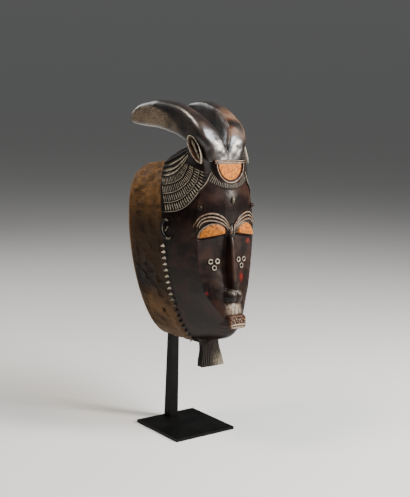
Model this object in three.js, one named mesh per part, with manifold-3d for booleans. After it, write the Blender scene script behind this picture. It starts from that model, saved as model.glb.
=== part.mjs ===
// A horned face mask carved from one block of wood, open at the back, on a steel display stand.
// Millimetres, +Z up. The face looks along -Y. The origin is the middle of the stand's underside.
import * as THREE from "three";
import { mergeVertices } from "three/addons/utils/BufferGeometryUtils.js";
import Module from "manifold-3d";

const wasm = await Module();
wasm.setup();

// Stand
const PLATE_SIDE = 100;
const PLATE_THICKNESS = 4;
const POST_FOOT_WIDTH = 14;
const POST_FOOT_DEPTH = 15;
const POST_HEAD_SIDE = 7; // the post tapers to a small square head
const POST_ASIDE = 2.4; // the middle of its foot stands this far to +X of the plate's
const POST_HEAD_ASIDE = 4.5;
const POST_FRONT = 31.5; // Y of its front face at the foot
const POST_HEAD_FRONT = 34;
const ARM_THICKNESS = 6;
const ARM_WIDTH = 26;
const ARM_REACH = 26; // how far the arm reaches forwards into the hollow
const ARM_ASIDE = -3;
const FIT = 0.3; // clearance between pieces that touch

// Mask, before it is hung on the stand
const RIM_CLEARANCE = 131; // floor to the lowest point of the open back rim
const SHELL_HEIGHT = 249;
const SHELL_WIDTH = 145;
const MASK_DEPTH = 154; // back rim to the lips
const RIM_PLANE = 32; // Y of the flat back rim
const WALL = 11;
const TEETH_FROM = 0.578; // height share where the sawtooth band starts
const TIE_HOLE = 5.5;

// How the mask hangs: its lower rim nears the post, and its crown leans back
const MASK_LEAN = 2.37; // degrees
const MASK_ASIDE = -5; // its middle, along X
const MASK_BACK = 4.4;
const MASK_LIFT = 1.8;

// Carving that has a size of its own
const NOSE_WIDTH = 11;
const NOSTRIL_RADIUS = 7;
const MOUTH_WIDTH = 27;
const MOUTH_HEIGHT = 18;
const MOUTH_REACH = 10;
const BROW_RIDGES = 3;
const BROW_PITCH = 4.6;
const BROW_SQUEEZE = 0.5; // how much closer the ridges lie at their ends
const BROW_RELIEF = 2.6;
const EYELID_RELIEF = 5.5;
const HAIR_RELIEF = 3.2;
const HAIR_LOCKS = 15; // locks in each tier of the hair fan
const FRINGE_LOCKS = 13;
const TOP_STRANDS = 4;
const RING_RADIUS = 3.3; // cheek marks
const RING_SPREAD = 5;
const TOOTH_PITCH = 8.5;
const TOOTH_WIDTH = 7;
const TOOTH_RELIEF = 3.4;
const EAR_LENGTH = 23;
const EAR_RELIEF = 4.5;
const CUP_LENGTH = 43;
const CUP_WIDTH = 14;
const CUP_HOLLOW = 4;
const CUP_TAPER = 0.18; // how much narrower the leaf is towards its foot
const BEARD_LENGTH = 38;
const BEARD_WIDTH = 40;
const BEARD_THICKNESS = 15;
const BEARD_JUT = 6.5; // how far its foot stands in front of its root

// Shares of the mask's own height, half width and depth
const up = (share) => RIM_CLEARANCE + share * SHELL_HEIGHT;
const out = (share) => (share * SHELL_WIDTH) / 2;
const fore = (share) => RIM_PLANE - share * MASK_DEPTH;

// The face: height, depth of the middle, place and depth of the cheek's edge
const FACE = [
  { h: 0, mid: 0.506, edge: 0.014, edgeDepth: 0.506 },
  { h: 0.028, mid: 0.61, edge: 0.04, edgeDepth: 0.604 },
  { h: 0.06, mid: 0.822, edge: 0.07, edgeDepth: 0.797 },
  { h: 0.1, mid: 0.926, edge: 0.11, edgeDepth: 0.893 },
  { h: 0.165, mid: 0.957, edge: 0.19, edgeDepth: 0.928 },
  { h: 0.221, mid: 0.954, edge: 0.3, edgeDepth: 0.9 },
  { h: 0.269, mid: 0.93, edge: 0.41, edgeDepth: 0.86 },
  { h: 0.325, mid: 0.897, edge: 0.51, edgeDepth: 0.83 },
  { h: 0.466, mid: 0.852, edge: 0.61, edgeDepth: 0.81 },
  { h: 0.606, mid: 0.858, edge: 0.642, edgeDepth: 0.814 },
  { h: 0.638, mid: 0.885, edge: 0.65, edgeDepth: 0.812 },
  { h: 0.679, mid: 0.896, edge: 0.655, edgeDepth: 0.808 },
  { h: 0.747, mid: 0.909, edge: 0.635, edgeDepth: 0.802 },
  { h: 0.803, mid: 0.909, edge: 0.607, edgeDepth: 0.802 },
  { h: 0.859, mid: 0.896, edge: 0.552, edgeDepth: 0.805 },
  { h: 0.904, mid: 0.886, edge: 0.497, edgeDepth: 0.812 },
  { h: 0.96, mid: 0.864, edge: 0.485, edgeDepth: 0.812 },
  { h: 1.012, mid: 0.838, edge: 0.485, edgeDepth: 0.778 },
  { h: 1.052, mid: 0.779, edge: 0.45, edgeDepth: 0.69 },
  { h: 1.084, mid: 0.584, edge: 0.303, edgeDepth: 0.545 },
];
const CROWN = FACE[FACE.length - 1].h;
const RIM_WIDEST = 0.67; // height of the rim's widest place
const BORDER_SHARE = 0.93; // the shell narrows this much from the rim to the carved front
const BORDER_DEPTH = 0.506;
const BORDER_LEAN = 0.22; // how far the border leans back at the crown
const LEAN_FROM = 0.64;
const CHEEK_POWER = 1.8;
const FLANK_POWER = 0.9;
const DOME_ROUND = 34; // how far the crown's back edge comes forward as it rises

// A smooth curve through a list of stations, read at height h
function between(list, key, h) {
  const last = list.length - 1;
  let i = 0;
  while (i < last - 1 && list[i + 1].h < h) i += 1;
  const slope = (j) => {
    const a = list[Math.max(j - 1, 0)];
    const b = list[Math.min(j + 1, last)];
    return (b[key] - a[key]) / (b.h - a.h);
  };
  const span = list[i + 1].h - list[i].h;
  const t = THREE.MathUtils.clamp((h - list[i].h) / span, 0, 1);
  const t2 = t * t;
  const t3 = t2 * t;
  return (
    (2 * t3 - 3 * t2 + 1) * list[i][key] +
    (t3 - 2 * t2 + t) * span * slope(i) +
    (3 * t2 - 2 * t3) * list[i + 1][key] +
    (t3 - t2) * span * slope(i + 1)
  );
}

// Half width of the back rim at height share h
function rimHalf(h) {
  const below = h < RIM_WIDEST;
  const reach = below ? RIM_WIDEST : 1 - RIM_WIDEST;
  const t = Math.min(Math.abs(h - RIM_WIDEST) / reach, 1);
  const power = below ? 1.65 : 3;
  const root = below ? 2 : 3.8;
  return out(Math.pow(1 - Math.pow(t, power), 1 / root));
}

// Half width and depth of the border between the raw shell and the carved front
function borderHalf(h) {
  if (h < RIM_WIDEST) return BORDER_SHARE * rimHalf(h);
  const t = Math.min((h - RIM_WIDEST) / (CROWN + 0.01 - RIM_WIDEST), 1);
  return out(BORDER_SHARE * Math.pow(1 - Math.pow(t, 3.5), 1 / 1.5));
}
function borderDepth(h) {
  const t = Math.max(h - LEAN_FROM, 0) / (CROWN - LEAN_FROM);
  return BORDER_DEPTH - BORDER_LEAN * t * t;
}

// Depth Y of the plain carved front at x and height share h
function frontY(x, h) {
  const edge = out(between(FACE, "edge", h));
  const half = Math.max(borderHalf(h), edge + 0.5);
  const mid = fore(between(FACE, "mid", h));
  const edgeY = fore(between(FACE, "edgeDepth", h));
  const a = Math.abs(x);
  if (a <= edge) return mid + (edgeY - mid) * Math.pow(a / edge, CHEEK_POWER);
  const s = Math.min((a - edge) / (half - edge), 1);
  return edgeY + (fore(borderDepth(h)) - edgeY) * Math.pow(s, FLANK_POWER);
}

// Distance from the middle of the plain carved front at depth y and height share h
function flankX(y, h) {
  const edge = out(between(FACE, "edge", h));
  const half = Math.max(borderHalf(h), edge + 0.5);
  const mid = fore(between(FACE, "mid", h));
  const edgeY = fore(between(FACE, "edgeDepth", h));
  if (y <= edgeY) {
    const s = THREE.MathUtils.clamp((y - mid) / (edgeY - mid), 0, 1);
    return edge * Math.pow(s, 1 / CHEEK_POWER);
  }
  const s = THREE.MathUtils.clamp((y - edgeY) / (fore(borderDepth(h)) - edgeY), 0, 1);
  return edge + (half - edge) * Math.pow(s, 1 / FLANK_POWER);
}

const vec = (x, y, z) => new THREE.Vector3(x, y, z);
const shareOf = (z) => (z - RIM_CLEARANCE) / SHELL_HEIGHT;
const onFront = (x, z) => vec(x, frontY(x, shareOf(z)), z);
const onFlank = (side, y, z) => vec(side * flankX(y, shareOf(z)), y, z);

// Outward direction of the carved front at a point on it
function outward(p) {
  const step = 2;
  const h = shareOf(p.z);
  const ahead = frontY(p.x + step, h) - frontY(p.x - step, h);
  const above = frontY(p.x, shareOf(p.z + step)) - frontY(p.x, shareOf(p.z - step));
  return vec(ahead / (2 * step), -1, above / (2 * step)).normalize();
}

// A closed solid from triangles, turned to face out
function solidOf(points, faces) {
  const geometry = new THREE.BufferGeometry().setFromPoints(points).setIndex(faces);
  const merged = mergeVertices(geometry, 1e-4);
  const triVerts = Uint32Array.from(merged.index.array);
  let volume = 0;
  for (let i = 0; i < faces.length; i += 3) {
    const [a, b, c] = [points[faces[i]], points[faces[i + 1]], points[faces[i + 2]]];
    volume += a.dot(b.clone().cross(c));
  }
  if (volume < 0) triVerts.reverse();
  const vertProperties = Float32Array.from(merged.attributes.position.array);
  return new wasm.Manifold(new wasm.Mesh({ numProp: 3, vertProperties, triVerts }));
}

// A skin over closed rings of equal length, with a fan of triangles at each end
function skin(rings) {
  const count = rings[0].length;
  const points = rings.flat();
  const faces = [];
  for (let r = 0; r < rings.length - 1; r += 1) {
    for (let i = 0; i < count; i += 1) {
      const a = r * count + i;
      const b = r * count + ((i + 1) % count);
      faces.push(a, b, b + count, a, b + count, a + count);
    }
  }
  const top = (rings.length - 1) * count;
  if (count === 4) {
    faces.push(0, 2, 1, 0, 3, 2, top, top + 1, top + 2, top, top + 2, top + 3);
    return solidOf(points, faces);
  }
  const middle = (ring) => ring.reduce((s, p) => s.add(p), vec(0, 0, 0)).divideScalar(count);
  const first = points.push(middle(rings[0])) - 1;
  const last = points.push(middle(rings[rings.length - 1])) - 1;
  for (let i = 0; i < count; i += 1) {
    const j = (i + 1) % count;
    faces.push(first, j, i, last, top + i, top + j);
  }
  return solidOf(points, faces);
}

// A raised ridge that follows points on the carved front
function ridge(path, width, height, sink = 2) {
  const tapered = (i) => 0.45 + 0.55 * Math.sin((Math.PI * (i + 0.6)) / (path.length + 0.2));
  return skin(
    path.map((p, i) => {
      const along = path[Math.min(i + 1, path.length - 1)].clone().sub(path[Math.max(i - 1, 0)]);
      const n = outward(p);
      const across = n.clone().cross(along).normalize();
      const corner = (w, h) =>
        p.clone().addScaledVector(across, w * width * tapered(i)).addScaledVector(n, h);
      return [corner(-0.5, -sink), corner(-0.28, height), corner(0.28, height), corner(0.5, -sink)];
    }),
  );
}

// A small rounded lump
function lump(center, radii, rows = 3, sides = 7) {
  const rings = [];
  for (let r = 0; r <= rows; r += 1) {
    const lift = (Math.PI * (r + 0.35)) / (rows + 0.7);
    rings.push(
      Array.from({ length: sides }, (_, i) => {
        const turn = (2 * Math.PI * i) / sides;
        const ringPoint = vec(
          Math.sin(lift) * Math.cos(turn) * radii.x,
          Math.sin(lift) * Math.sin(turn) * radii.y,
          -Math.cos(lift) * radii.z,
        );
        return ringPoint.add(center);
      }),
    );
  }
  return skin(rings);
}

// A domed pad over an outline that lies on the carved front
function pad(outline, relief, sink = 2) {
  const center = outline.reduce((s, p) => s.add(p), vec(0, 0, 0)).divideScalar(outline.length);
  const level = (share, lift) =>
    outline.map((p) => {
      const q = p.clone().lerp(center, 1 - share);
      const onto = onFront(q.x, q.z);
      return onto.addScaledVector(outward(onto), lift);
    });
  return skin([level(1, -sink), level(1, relief * 0.25), level(0.8, relief * 0.8), level(0.4, relief)]);
}

// A slab of combed ridges that follow one another along u and run along v. Where it is tiered,
// a groove crosses them at every other row.
function combed(pointAt, locks, rows, relief, sink, tiered) {
  const columns = locks * 2;
  const layer = (lift) => {
    const grid = [];
    for (let c = 0; c <= columns; c += 1) {
      for (let r = 0; r <= rows; r += 1) {
        const p = pointAt(c / columns, r / rows);
        const rim = c === 0 || c === columns || r === 0 || r === rows;
        grid.push(p.addScaledVector(outward(p), lift(c, r, rim)));
      }
    }
    return grid;
  };
  const crest = (c, r) => (tiered && r % 2 === 0 ? 0.6 : c % 2 === (tiered ? 0 : 1) ? 1 : 0.5);
  const top = layer((c, r, rim) => (rim ? relief * 0.3 : relief * crest(c, r)));
  const base = layer(() => -sink);
  const points = [...top, ...base];
  const at = (c, r) => c * (rows + 1) + r;
  const below = top.length;
  const faces = [];
  for (let c = 0; c < columns; c += 1) {
    for (let r = 0; r < rows; r += 1) {
      const [a, b, d, e] = [at(c, r), at(c + 1, r), at(c + 1, r + 1), at(c, r + 1)];
      faces.push(a, b, d, a, d, e);
      faces.push(below + a, below + d, below + b, below + a, below + e, below + d);
    }
  }
  const wall = (a, b) => faces.push(a, below + a, below + b, a, below + b, b);
  for (let c = 0; c < columns; c += 1) {
    wall(at(c, 0), at(c + 1, 0));
    wall(at(c + 1, rows), at(c, rows));
  }
  for (let r = 0; r < rows; r += 1) {
    wall(at(0, r + 1), at(0, r));
    wall(at(columns, r), at(columns, r + 1));
  }
  return solidOf(points, faces);
}

const mirrored = (make) => [make(-1), make(1)];

// Heights of the sections, closer together where the outline turns fast
function levels(count, bottom, top) {
  return Array.from({ length: count + 1 }, (_, i) => {
    const t = (1 - Math.cos((Math.PI * i) / count)) / 2;
    return bottom + (top - bottom) * t;
  });
}

// The outside of the carved block, a stack of level sections
function makeBlock() {
  const frontShares = [0, 0.4, 0.75, 1];
  const flankShares = [0.3, 0.6, 1];
  const overShell = [0.0008, 0.25, 0.5, 0.75, 0.92, 1].map((t) => 1 + t * (CROWN - 1));
  const rings = [...levels(23, 0.0015, 0.9995), ...overShell].map((h) => {
    const z = up(h);
    const edge = out(between(FACE, "edge", h));
    const half = Math.max(borderHalf(h), edge + 0.5);
    const overRim = h > 1;
    const rounding = DOME_ROUND * Math.pow(Math.max(h - 1, 0) / (CROWN - 1), 2);
    const backY = overRim ? fore(borderDepth(h)) - rounding : RIM_PLANE;
    const backX = overRim ? half * 0.6 : rimHalf(h);
    const shellX = overRim ? half * 0.9 : BORDER_SHARE * rimHalf(h);
    const side = [];
    frontShares.forEach((s) => side.push(vec(edge * s, frontY(edge * s, h), z)));
    flankShares.forEach((s) => {
      const x = edge + (half - edge) * s;
      side.push(vec(x, overRim ? Math.min(frontY(x, h), backY - 3) : frontY(x, h), z));
    });
    side.push(vec(Math.min(shellX, half), overRim ? backY - 1.5 : fore(borderDepth(h)) + 0.5, z));
    side.push(vec(backX, backY, z));
    const other = side.slice(1).map((p) => vec(-p.x, p.y, p.z));
    return [...side, ...other.reverse()];
  });
  return skin(rings);
}

// The hollow, a wall's thickness inside the block and open at the back
function makeHollow() {
  const sections = 16;
  const wallShare = WALL / SHELL_HEIGHT;
  const rings = levels(sections, wallShare + 0.006, 1 - wallShare).map((h) => {
    const z = up(h);
    const t = (h - wallShare) / (1 - 2 * wallShare);
    const nearest = wallShare + t * (1 - 2 * wallShare);
    const slanted = WALL * (1 + 0.7 * Math.pow(Math.abs(2 * t - 1), 3)); // the ends are cut at a slant
    const rim = rimHalf(nearest) - slanted;
    const half = BORDER_SHARE * rimHalf(nearest) - slanted;
    const edge = Math.min(out(between(FACE, "edge", h)) - WALL * 0.3, half - 4);
    const bow = Math.sin(Math.PI * THREE.MathUtils.clamp(0.05 + 0.85 * t, 0, 1));
    const floorY = fore(BORDER_DEPTH) + 14 - (WALL * 3.7 + 14) * Math.pow(bow, 0.7);
    const side = [vec(0, floorY, z)];
    side.push(vec(Math.max(edge, 1) * 0.6, floorY + 1.5, z));
    side.push(vec(Math.max(edge, 2), floorY + 9, z));
    side.push(vec(Math.max(half, 3), Math.max(fore(BORDER_DEPTH), floorY + 12), z));
    side.push(vec(Math.max(rim, 3.5), RIM_PLANE + 5, z));
    const other = side.slice(1).map((p) => vec(-p.x, p.y, p.z));
    return [...side, ...other.reverse()];
  });
  return skin(rings);
}

// Horns
// Depth and height of a horn's lower line and crown line, and its inner and outer place, as shares
const HORN = [
  { h: 0, lowY: 0.675, lowZ: 0.976, topY: 0.857, topZ: 1.008, inner: -0.11, outer: 0.407 },
  { h: 0.1, lowY: 0.669, lowZ: 1.04, topY: 0.854, topZ: 1.068, inner: -0.069, outer: 0.448 },
  { h: 0.2, lowY: 0.649, lowZ: 1.076, topY: 0.838, topZ: 1.124, inner: 0.055, outer: 0.51 },
  { h: 0.3, lowY: 0.604, lowZ: 1.094, topY: 0.782, topZ: 1.185, inner: 0.131, outer: 0.552 },
  { h: 0.4, lowY: 0.549, lowZ: 1.114, topY: 0.688, topZ: 1.237, inner: 0.207, outer: 0.572 },
  { h: 0.5, lowY: 0.455, lowZ: 1.137, topY: 0.558, topZ: 1.285, inner: 0.262, outer: 0.586 },
  { h: 0.6, lowY: 0.338, lowZ: 1.161, topY: 0.386, topZ: 1.321, inner: 0.283, outer: 0.628 },
  { h: 0.7, lowY: 0.208, lowZ: 1.179, topY: 0.208, topZ: 1.337, inner: 0.31, outer: 0.676 },
  { h: 0.8, lowY: 0.078, lowZ: 1.189, topY: 0.058, topZ: 1.333, inner: 0.359, outer: 0.703 },
  { h: 0.9, lowY: -0.052, lowZ: 1.199, topY: -0.058, topZ: 1.315, inner: 0.421, outer: 0.724 },
  { h: 0.97, lowY: -0.13, lowZ: 1.213, topY: -0.13, topZ: 1.285, inner: 0.483, outer: 0.731 },
  { h: 1, lowY: -0.162, lowZ: 1.233, topY: -0.156, topZ: 1.265, inner: 0.538, outer: 0.703 },
];
// Section of a horn: share across from inner to outer, share up from lower line to crown
const HORN_SECTION = [
  [0.5, 0], [0.88, 0.03], [1, 0.2], [1, 0.66], [0.93, 0.86], [0.74, 0.97],
  [0.45, 1], [0.14, 0.97], [0, 0.84], [0, 0.42], [0.14, 0.1],
];

function makeHorn(side) {
  const steps = 15;
  const rings = [];
  for (let i = 0; i <= steps; i += 1) {
    const t = i / steps;
    const at = (key) => between(HORN, key, t);
    rings.push(
      HORN_SECTION.map(([across, rise]) => {
        const mix = (a, b, share) => at(a) + (at(b) - at(a)) * share;
        const x = out(mix("inner", "outer", across));
        return vec(side * x, fore(mix("lowY", "topY", rise)), up(mix("lowZ", "topZ", rise)));
      }),
    );
  }
  return skin(rings);
}

// Points of a smooth curve through a few corners, given as pairs on the flank
function flankPath(side, corners, steps) {
  const curve = new THREE.CatmullRomCurve3(corners.map(([y, z]) => vec(0, y, z)));
  return curve.getPoints(steps).map((p) => onFlank(side, p.y, p.z));
}

// Face
const BROW_INNER = 0.02; // of the half width, where the two brows meet
const BROW_OUTER = 0.69;
const BROW_FOOT = 0.642; // height of the ends
const BROW_APEX = 0.747;
const BROW_SLANT = 4;

// A point of the brows: share along the arch, and how far inside its outer line
function browPoint(side, along, inset) {
  const half = out(BROW_OUTER - BROW_INNER) / 2 - inset * BROW_SQUEEZE;
  const middle = out(BROW_OUTER + BROW_INNER) / 2;
  const rise = up(BROW_APEX) - up(BROW_FOOT) - inset;
  const turn = Math.PI * along;
  const slant = BROW_SLANT * Math.cos(turn); // the outer end sits higher than the inner one
  const z = up(BROW_FOOT) + rise * Math.sin(turn) + slant;
  return onFront(side * (middle + half * Math.cos(turn)), z);
}

// Arched brows of three ridges each
function makeBrows() {
  return mirrored((side) =>
    combed(
      (u, v) => browPoint(side, 0.02 + 0.96 * v, u * BROW_RIDGES * BROW_PITCH),
      BROW_RIDGES, 10, BROW_RELIEF, 2, false,
    ),
  );
}

// A half-moon lid that hangs under the brows, straight below
function makeEyelids() {
  const [inner, outer, base, apex] = [0.125, 0.637, 0.618, 0.682];
  return mirrored((side) => {
    const middle = out(inner + outer) / 2;
    const half = out(outer - inner) / 2;
    const arc = Array.from({ length: 11 }, (_, i) => {
      const turn = (Math.PI * i) / 10;
      const slant = -2.6 * Math.cos(turn);
      const z = up(base) + (up(apex) - up(base)) * Math.sin(turn) + slant;
      return onFront(side * (middle + half * Math.cos(turn)), z);
    });
    const foot = [-0.5, 0, 0.5].map((s) => onFront(side * (middle + half * s), up(base) - 2.6 * s));
    return pad([...arc, ...foot], EYELID_RELIEF);
  });
}

// Height, reach in front of the face, half width of the ridge and of its foot
const NOSE = [
  { h: 0.66, reach: 5.5, crest: 0.26, foot: 0.5 },
  { h: 0.62, reach: 8.5, crest: 0.28, foot: 0.46 },
  { h: 0.56, reach: 11.5, crest: 0.28, foot: 0.46 },
  { h: 0.466, reach: 14, crest: 0.3, foot: 0.48 },
  { h: 0.38, reach: 12.5, crest: 0.34, foot: 0.52 },
  { h: 0.33, reach: 10.5, crest: 0.4, foot: 0.6 },
  { h: 0.3, reach: 9.5, crest: 0.4, foot: 0.7 },
  { h: 0.28, reach: 3, crest: 0.3, foot: 0.6 },
];
const NOSE_FOOT = 0.303; // height of the nostrils

function makeNose() {
  const bridge = skin(
    NOSE.map(({ h, reach, crest, foot }) => {
      const z = up(h);
      const top = frontY(0, h) - reach;
      const base = frontY(NOSE_WIDTH, h) + 3;
      const [c, f] = [crest * NOSE_WIDTH, foot * NOSE_WIDTH];
      return [vec(-f, base, z), vec(-c, top + 1.2, z), vec(0, top, z), vec(c, top + 1.2, z), vec(f, base, z)];
    }),
  );
  const r = NOSTRIL_RADIUS;
  const z = up(NOSE_FOOT);
  const y = frontY(0, NOSE_FOOT);
  const wings = mirrored((side) => lump(vec(side * r * 0.8, y - 4, z), vec(r, r * 1.05, r * 1.15), 5, 10));
  return [bridge, ...wings];
}

// The protruding mouth, a blunt box with a band of teeth cut back between the lips
const MOUTH_MIDDLE = 0.167;
function boxed(width, height, middle, depths) {
  const corners = [[-1, -0.6], [-0.8, -1], [0.8, -1], [1, -0.6], [1, 0.6], [0.8, 1], [-0.8, 1], [-1, 0.6]];
  return skin(
    depths.map(([y, share]) =>
      corners.map(([a, b]) => vec((a * width * share) / 2, y, middle + (b * height * share) / 2)),
    ),
  );
}
function makeMouth() {
  const z = up(MOUTH_MIDDLE);
  const front = fore(1);
  const box = boxed(MOUTH_WIDTH, MOUTH_HEIGHT, z, [
    [front + MOUTH_REACH * 2.2, 1.12], [front + 3, 1], [front, 0.92],
  ]);
  const slot = boxed(MOUTH_WIDTH * 0.8, MOUTH_HEIGHT * 0.42, z, [[front - 2, 1], [front + 2, 0.9]]);
  return box.subtract(slot);
}

// Round marks: three rings on each cheek, a nub at each temple and a drop on the forehead
function makeMarks() {
  const ring = (x, z) => {
    const p = onFront(x, z);
    return lump(p, vec(RING_RADIUS, RING_RADIUS * 0.8, RING_RADIUS), 2, 6);
  };
  const cheek = (side) => {
    const [x, z] = [side * out(0.312), up(0.471)];
    const [upper, lower] = [RING_SPREAD * 0.6, RING_SPREAD * 1.1];
    return [ring(x - RING_SPREAD, z + upper), ring(x + RING_SPREAD, z + upper), ring(x, z - lower)];
  };
  const temple = (side) => {
    const p = onFront(side * out(0.593), up(0.764));
    return lump(p, vec(4.2, 4.2, 4.4));
  };
  const drop = lump(onFront(0, up(0.804)), vec(2.4, 2.2, 5.5));
  return [...mirrored(cheek).flat(), ...mirrored(temple), drop];
}

// Front of the cap: a half moon with its rims, and a fringe of short locks below it
const MOON_TOP = 0.992;
const MOON_HALF = 0.29;
const MOON_DROP = 0.0843;
const FRINGE_HALF = 0.47;
const FRINGE_DROP = 0.131;
const FRINGE_BOW = 0.05; // how far its foot rises at the sides
function moonPoint(turn, grow) {
  const x = (out(MOON_HALF) + grow) * Math.sin(turn);
  return onFront(x, up(MOON_TOP) - (up(MOON_DROP) - up(0) + grow) * Math.cos(turn));
}
function makeMoon() {
  const turnOf = (i) => (Math.PI / 2) * (i / 6);
  const arc = Array.from({ length: 13 }, (_, i) => moonPoint(turnOf(i - 6), 0));
  const rim = Array.from({ length: 13 }, (_, i) => moonPoint(turnOf(i - 6) * 0.98, 3.2));
  const ends = [-1, -0.5, 0, 0.5, 1];
  const bar = ends.map((s) => onFront(s * (out(MOON_HALF) + 3), up(MOON_TOP) + 2.6));
  return [pad(arc, 2), ridge(rim, 2.8, 2.4), ridge(bar, 3.4, 2.6)];
}
function makeFringe() {
  const reach = THREE.MathUtils.degToRad(72);
  return combed(
    (u, v) => {
      const s = 2 * u - 1;
      const root = moonPoint(s * reach, 4.6);
      const foot = vec(s * out(FRINGE_HALF), 0, up(MOON_TOP - FRINGE_DROP + FRINGE_BOW * s * s));
      const p = root.lerp(foot, v);
      return onFront(p.x, p.z);
    },
    FRINGE_LOCKS, 2, HAIR_RELIEF * 0.7, 2.5, true,
  );
}

// Hair: tiers of short locks that fan round a knot behind the ear cup, and thick strands over it
const FAN_Y = 0.442;
const FAN_H = 1.02;
const FAN_TIERS = 4;
const FAN_SQUARE = 2.8;
function fanPoint(side, turn, v) {
  const reachY = 0.136 * MASK_DEPTH + v * 0.26 * MASK_DEPTH;
  const reachZ = (0.092 + v * 0.187) * SHELL_HEIGHT;
  const y = fore(FAN_Y) - reachY * Math.pow(Math.sin(turn), 2 / FAN_SQUARE);
  const z = up(FAN_H) - reachZ * Math.pow(Math.cos(turn), 2 / FAN_SQUARE);
  return onFlank(side, y, z);
}
// The thick strands run from the border up to the knot, one above another
function strandPoint(side, u, v) {
  const mix = THREE.MathUtils.lerp;
  const depth = mix(mix(0.422, 0.375, u), mix(0.6, 0.5, u), v);
  const height = mix(mix(0.92, 1.0, u), mix(1.016, 1.068, u), v);
  const sag = 0.016 * Math.sin(Math.PI * v) * (1 - u);
  return onFlank(side, fore(depth), up(height - sag));
}
function makeHair() {
  const last = THREE.MathUtils.degToRad(80);
  const fans = mirrored((side) =>
    combed((u, v) => fanPoint(side, u * last, v), HAIR_LOCKS, FAN_TIERS * 2, HAIR_RELIEF, 3, true),
  );
  const strands = mirrored((side) =>
    combed((u, v) => strandPoint(side, u, v), TOP_STRANDS, 5, HAIR_RELIEF, 3, false),
  );
  return [...fans, ...strands];
}

// A leaf-shaped animal ear with a raised rim, behind the foot of each horn
function makeCup(side) {
  const center = vec(side * out(0.565), fore(0.727), up(1.067));
  const along = vec(side * 0.08, 0.5, 0.86).normalize();
  const face = vec(side * 0.86, -0.5, 0.15);
  const across = along.clone().cross(face).normalize();
  const facing = across.clone().cross(along).normalize();
  const ring = (share, lift) =>
    Array.from({ length: 12 }, (_, i) => {
      const turn = (2 * Math.PI * i) / 12;
      const s = Math.cos(turn);
      const t = Math.sin(turn);
      const taper = 1 + CUP_TAPER * s;
      const halfWidth = (CUP_WIDTH / 2) * taper * Math.sign(t) * Math.pow(Math.abs(t), 1.3);
      return center.clone()
        .addScaledVector(along, (s * CUP_LENGTH * share) / 2)
        .addScaledVector(across, halfWidth * share)
        .addScaledVector(facing, lift);
    });
  const dish = skin([
    ring(0.75, -15), ring(1, -3), ring(1, 1.5),
    ring(0.84, 2.6), ring(0.7, 2.6 - CUP_HOLLOW), ring(0.2, 2 - CUP_HOLLOW),
  ]);
  const narrowed = (p) => {
    const off = p.clone().sub(center).dot(across);
    return p.clone().addScaledVector(across, -0.75 * off);
  };
  const rib = skin([ring(0.5, -4).map(narrowed), ring(0.62, -1.6).map(narrowed)]);
  return dish.add(rib);
}

// A small curled human ear at the border, just below the hair
function makeEar(side) {
  const height = EAR_LENGTH / SHELL_HEIGHT;
  const top = 0.703;
  const corners = [[0.6, -0.09], [0.575, 0], [0.525, -0.08], [0.515, -0.5], [0.535, -0.85], [0.58, -1]];
  const places = corners.map(([d, s]) => [fore(d), up(top + s * height)]);
  return ridge(flankPath(side, places, 7), 5, EAR_RELIEF, 3);
}

// A sawtooth band along the border, from below the ear round to the beard
function makeTeeth() {
  const pace = 400;
  const border = (i) => {
    const h = TEETH_FROM * Math.pow(1 - i / pace, 2);
    return vec(borderHalf(h), fore(BORDER_DEPTH), up(h));
  };
  const rings = [];
  let gone = TOOTH_PITCH;
  for (let i = 1; i < pace; i += 1) {
    const step = border(i).sub(border(i - 1));
    gone += step.length();
    if (gone < TOOTH_PITCH / 2) continue;
    gone = 0;
    const away = vec(-step.z, 0, step.x).normalize();
    if (away.x < 0) away.negate();
    const high = rings.length % 2 === 1;
    const lift = high ? TOOTH_RELIEF : 0.4;
    const half = high ? TOOTH_WIDTH * 0.3 : TOOTH_WIDTH * 0.45;
    const foot = TOOTH_WIDTH / 2;
    const corner = (rise, y) => border(i).addScaledVector(away, rise).add(vec(0, y, 0));
    rings.push([corner(-3, -foot), corner(lift, -half), corner(lift, half), corner(-3, foot)]);
  }
  return mirrored((side) => skin(rings.map((ring) => ring.map((p) => vec(side * p.x, p.y, p.z)))));
}

// The beard, a flat tuft that spreads downwards, with grooves in its front
function makeBeard() {
  const strands = 7;
  const shares = [[-0.2, 0.72], [0.12, 0.7], [0.4, 0.66], [0.62, 0.74], [0.85, 0.9], [1, 1]];
  const rings = shares.map(([drop, share]) => {
    const z = up(0.028) - drop * (BEARD_LENGTH - 2);
    const half = (BEARD_WIDTH / 2) * share;
    const front = fore(0.61) + (drop < 0 ? 4 : -0.6 - BEARD_JUT * drop);
    const comb = Array.from({ length: strands * 2 + 1 }, (_, i) => {
      const s = i / strands - 1;
      const bow = 2.5 * s * s;
      return vec(s * half, front + bow + (i % 2 === 0 ? 0.9 : 0), z);
    });
    const back = front + BEARD_THICKNESS;
    return [...comb, vec(half * 0.9, back, z), vec(-half * 0.9, back, z)];
  });
  return skin(rings);
}

// A tie hole through each flank of the shell
function makeTieHoles() {
  return mirrored((side) => {
    const hole = new THREE.CylinderGeometry(TIE_HOLE / 2, TIE_HOLE / 2, WALL * 3, 12);
    hole.deleteAttribute("normal");
    hole.deleteAttribute("uv");
    hole.rotateZ(Math.PI / 2);
    hole.translate(side * out(0.62), fore(0.292), up(0.185));
    const merged = mergeVertices(hole, 1e-4);
    const points = [];
    const place = merged.attributes.position;
    for (let i = 0; i < place.count; i += 1) points.push(vec().fromBufferAttribute(place, i));
    return solidOf(points, Array.from(merged.index.array));
  });
}

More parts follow.
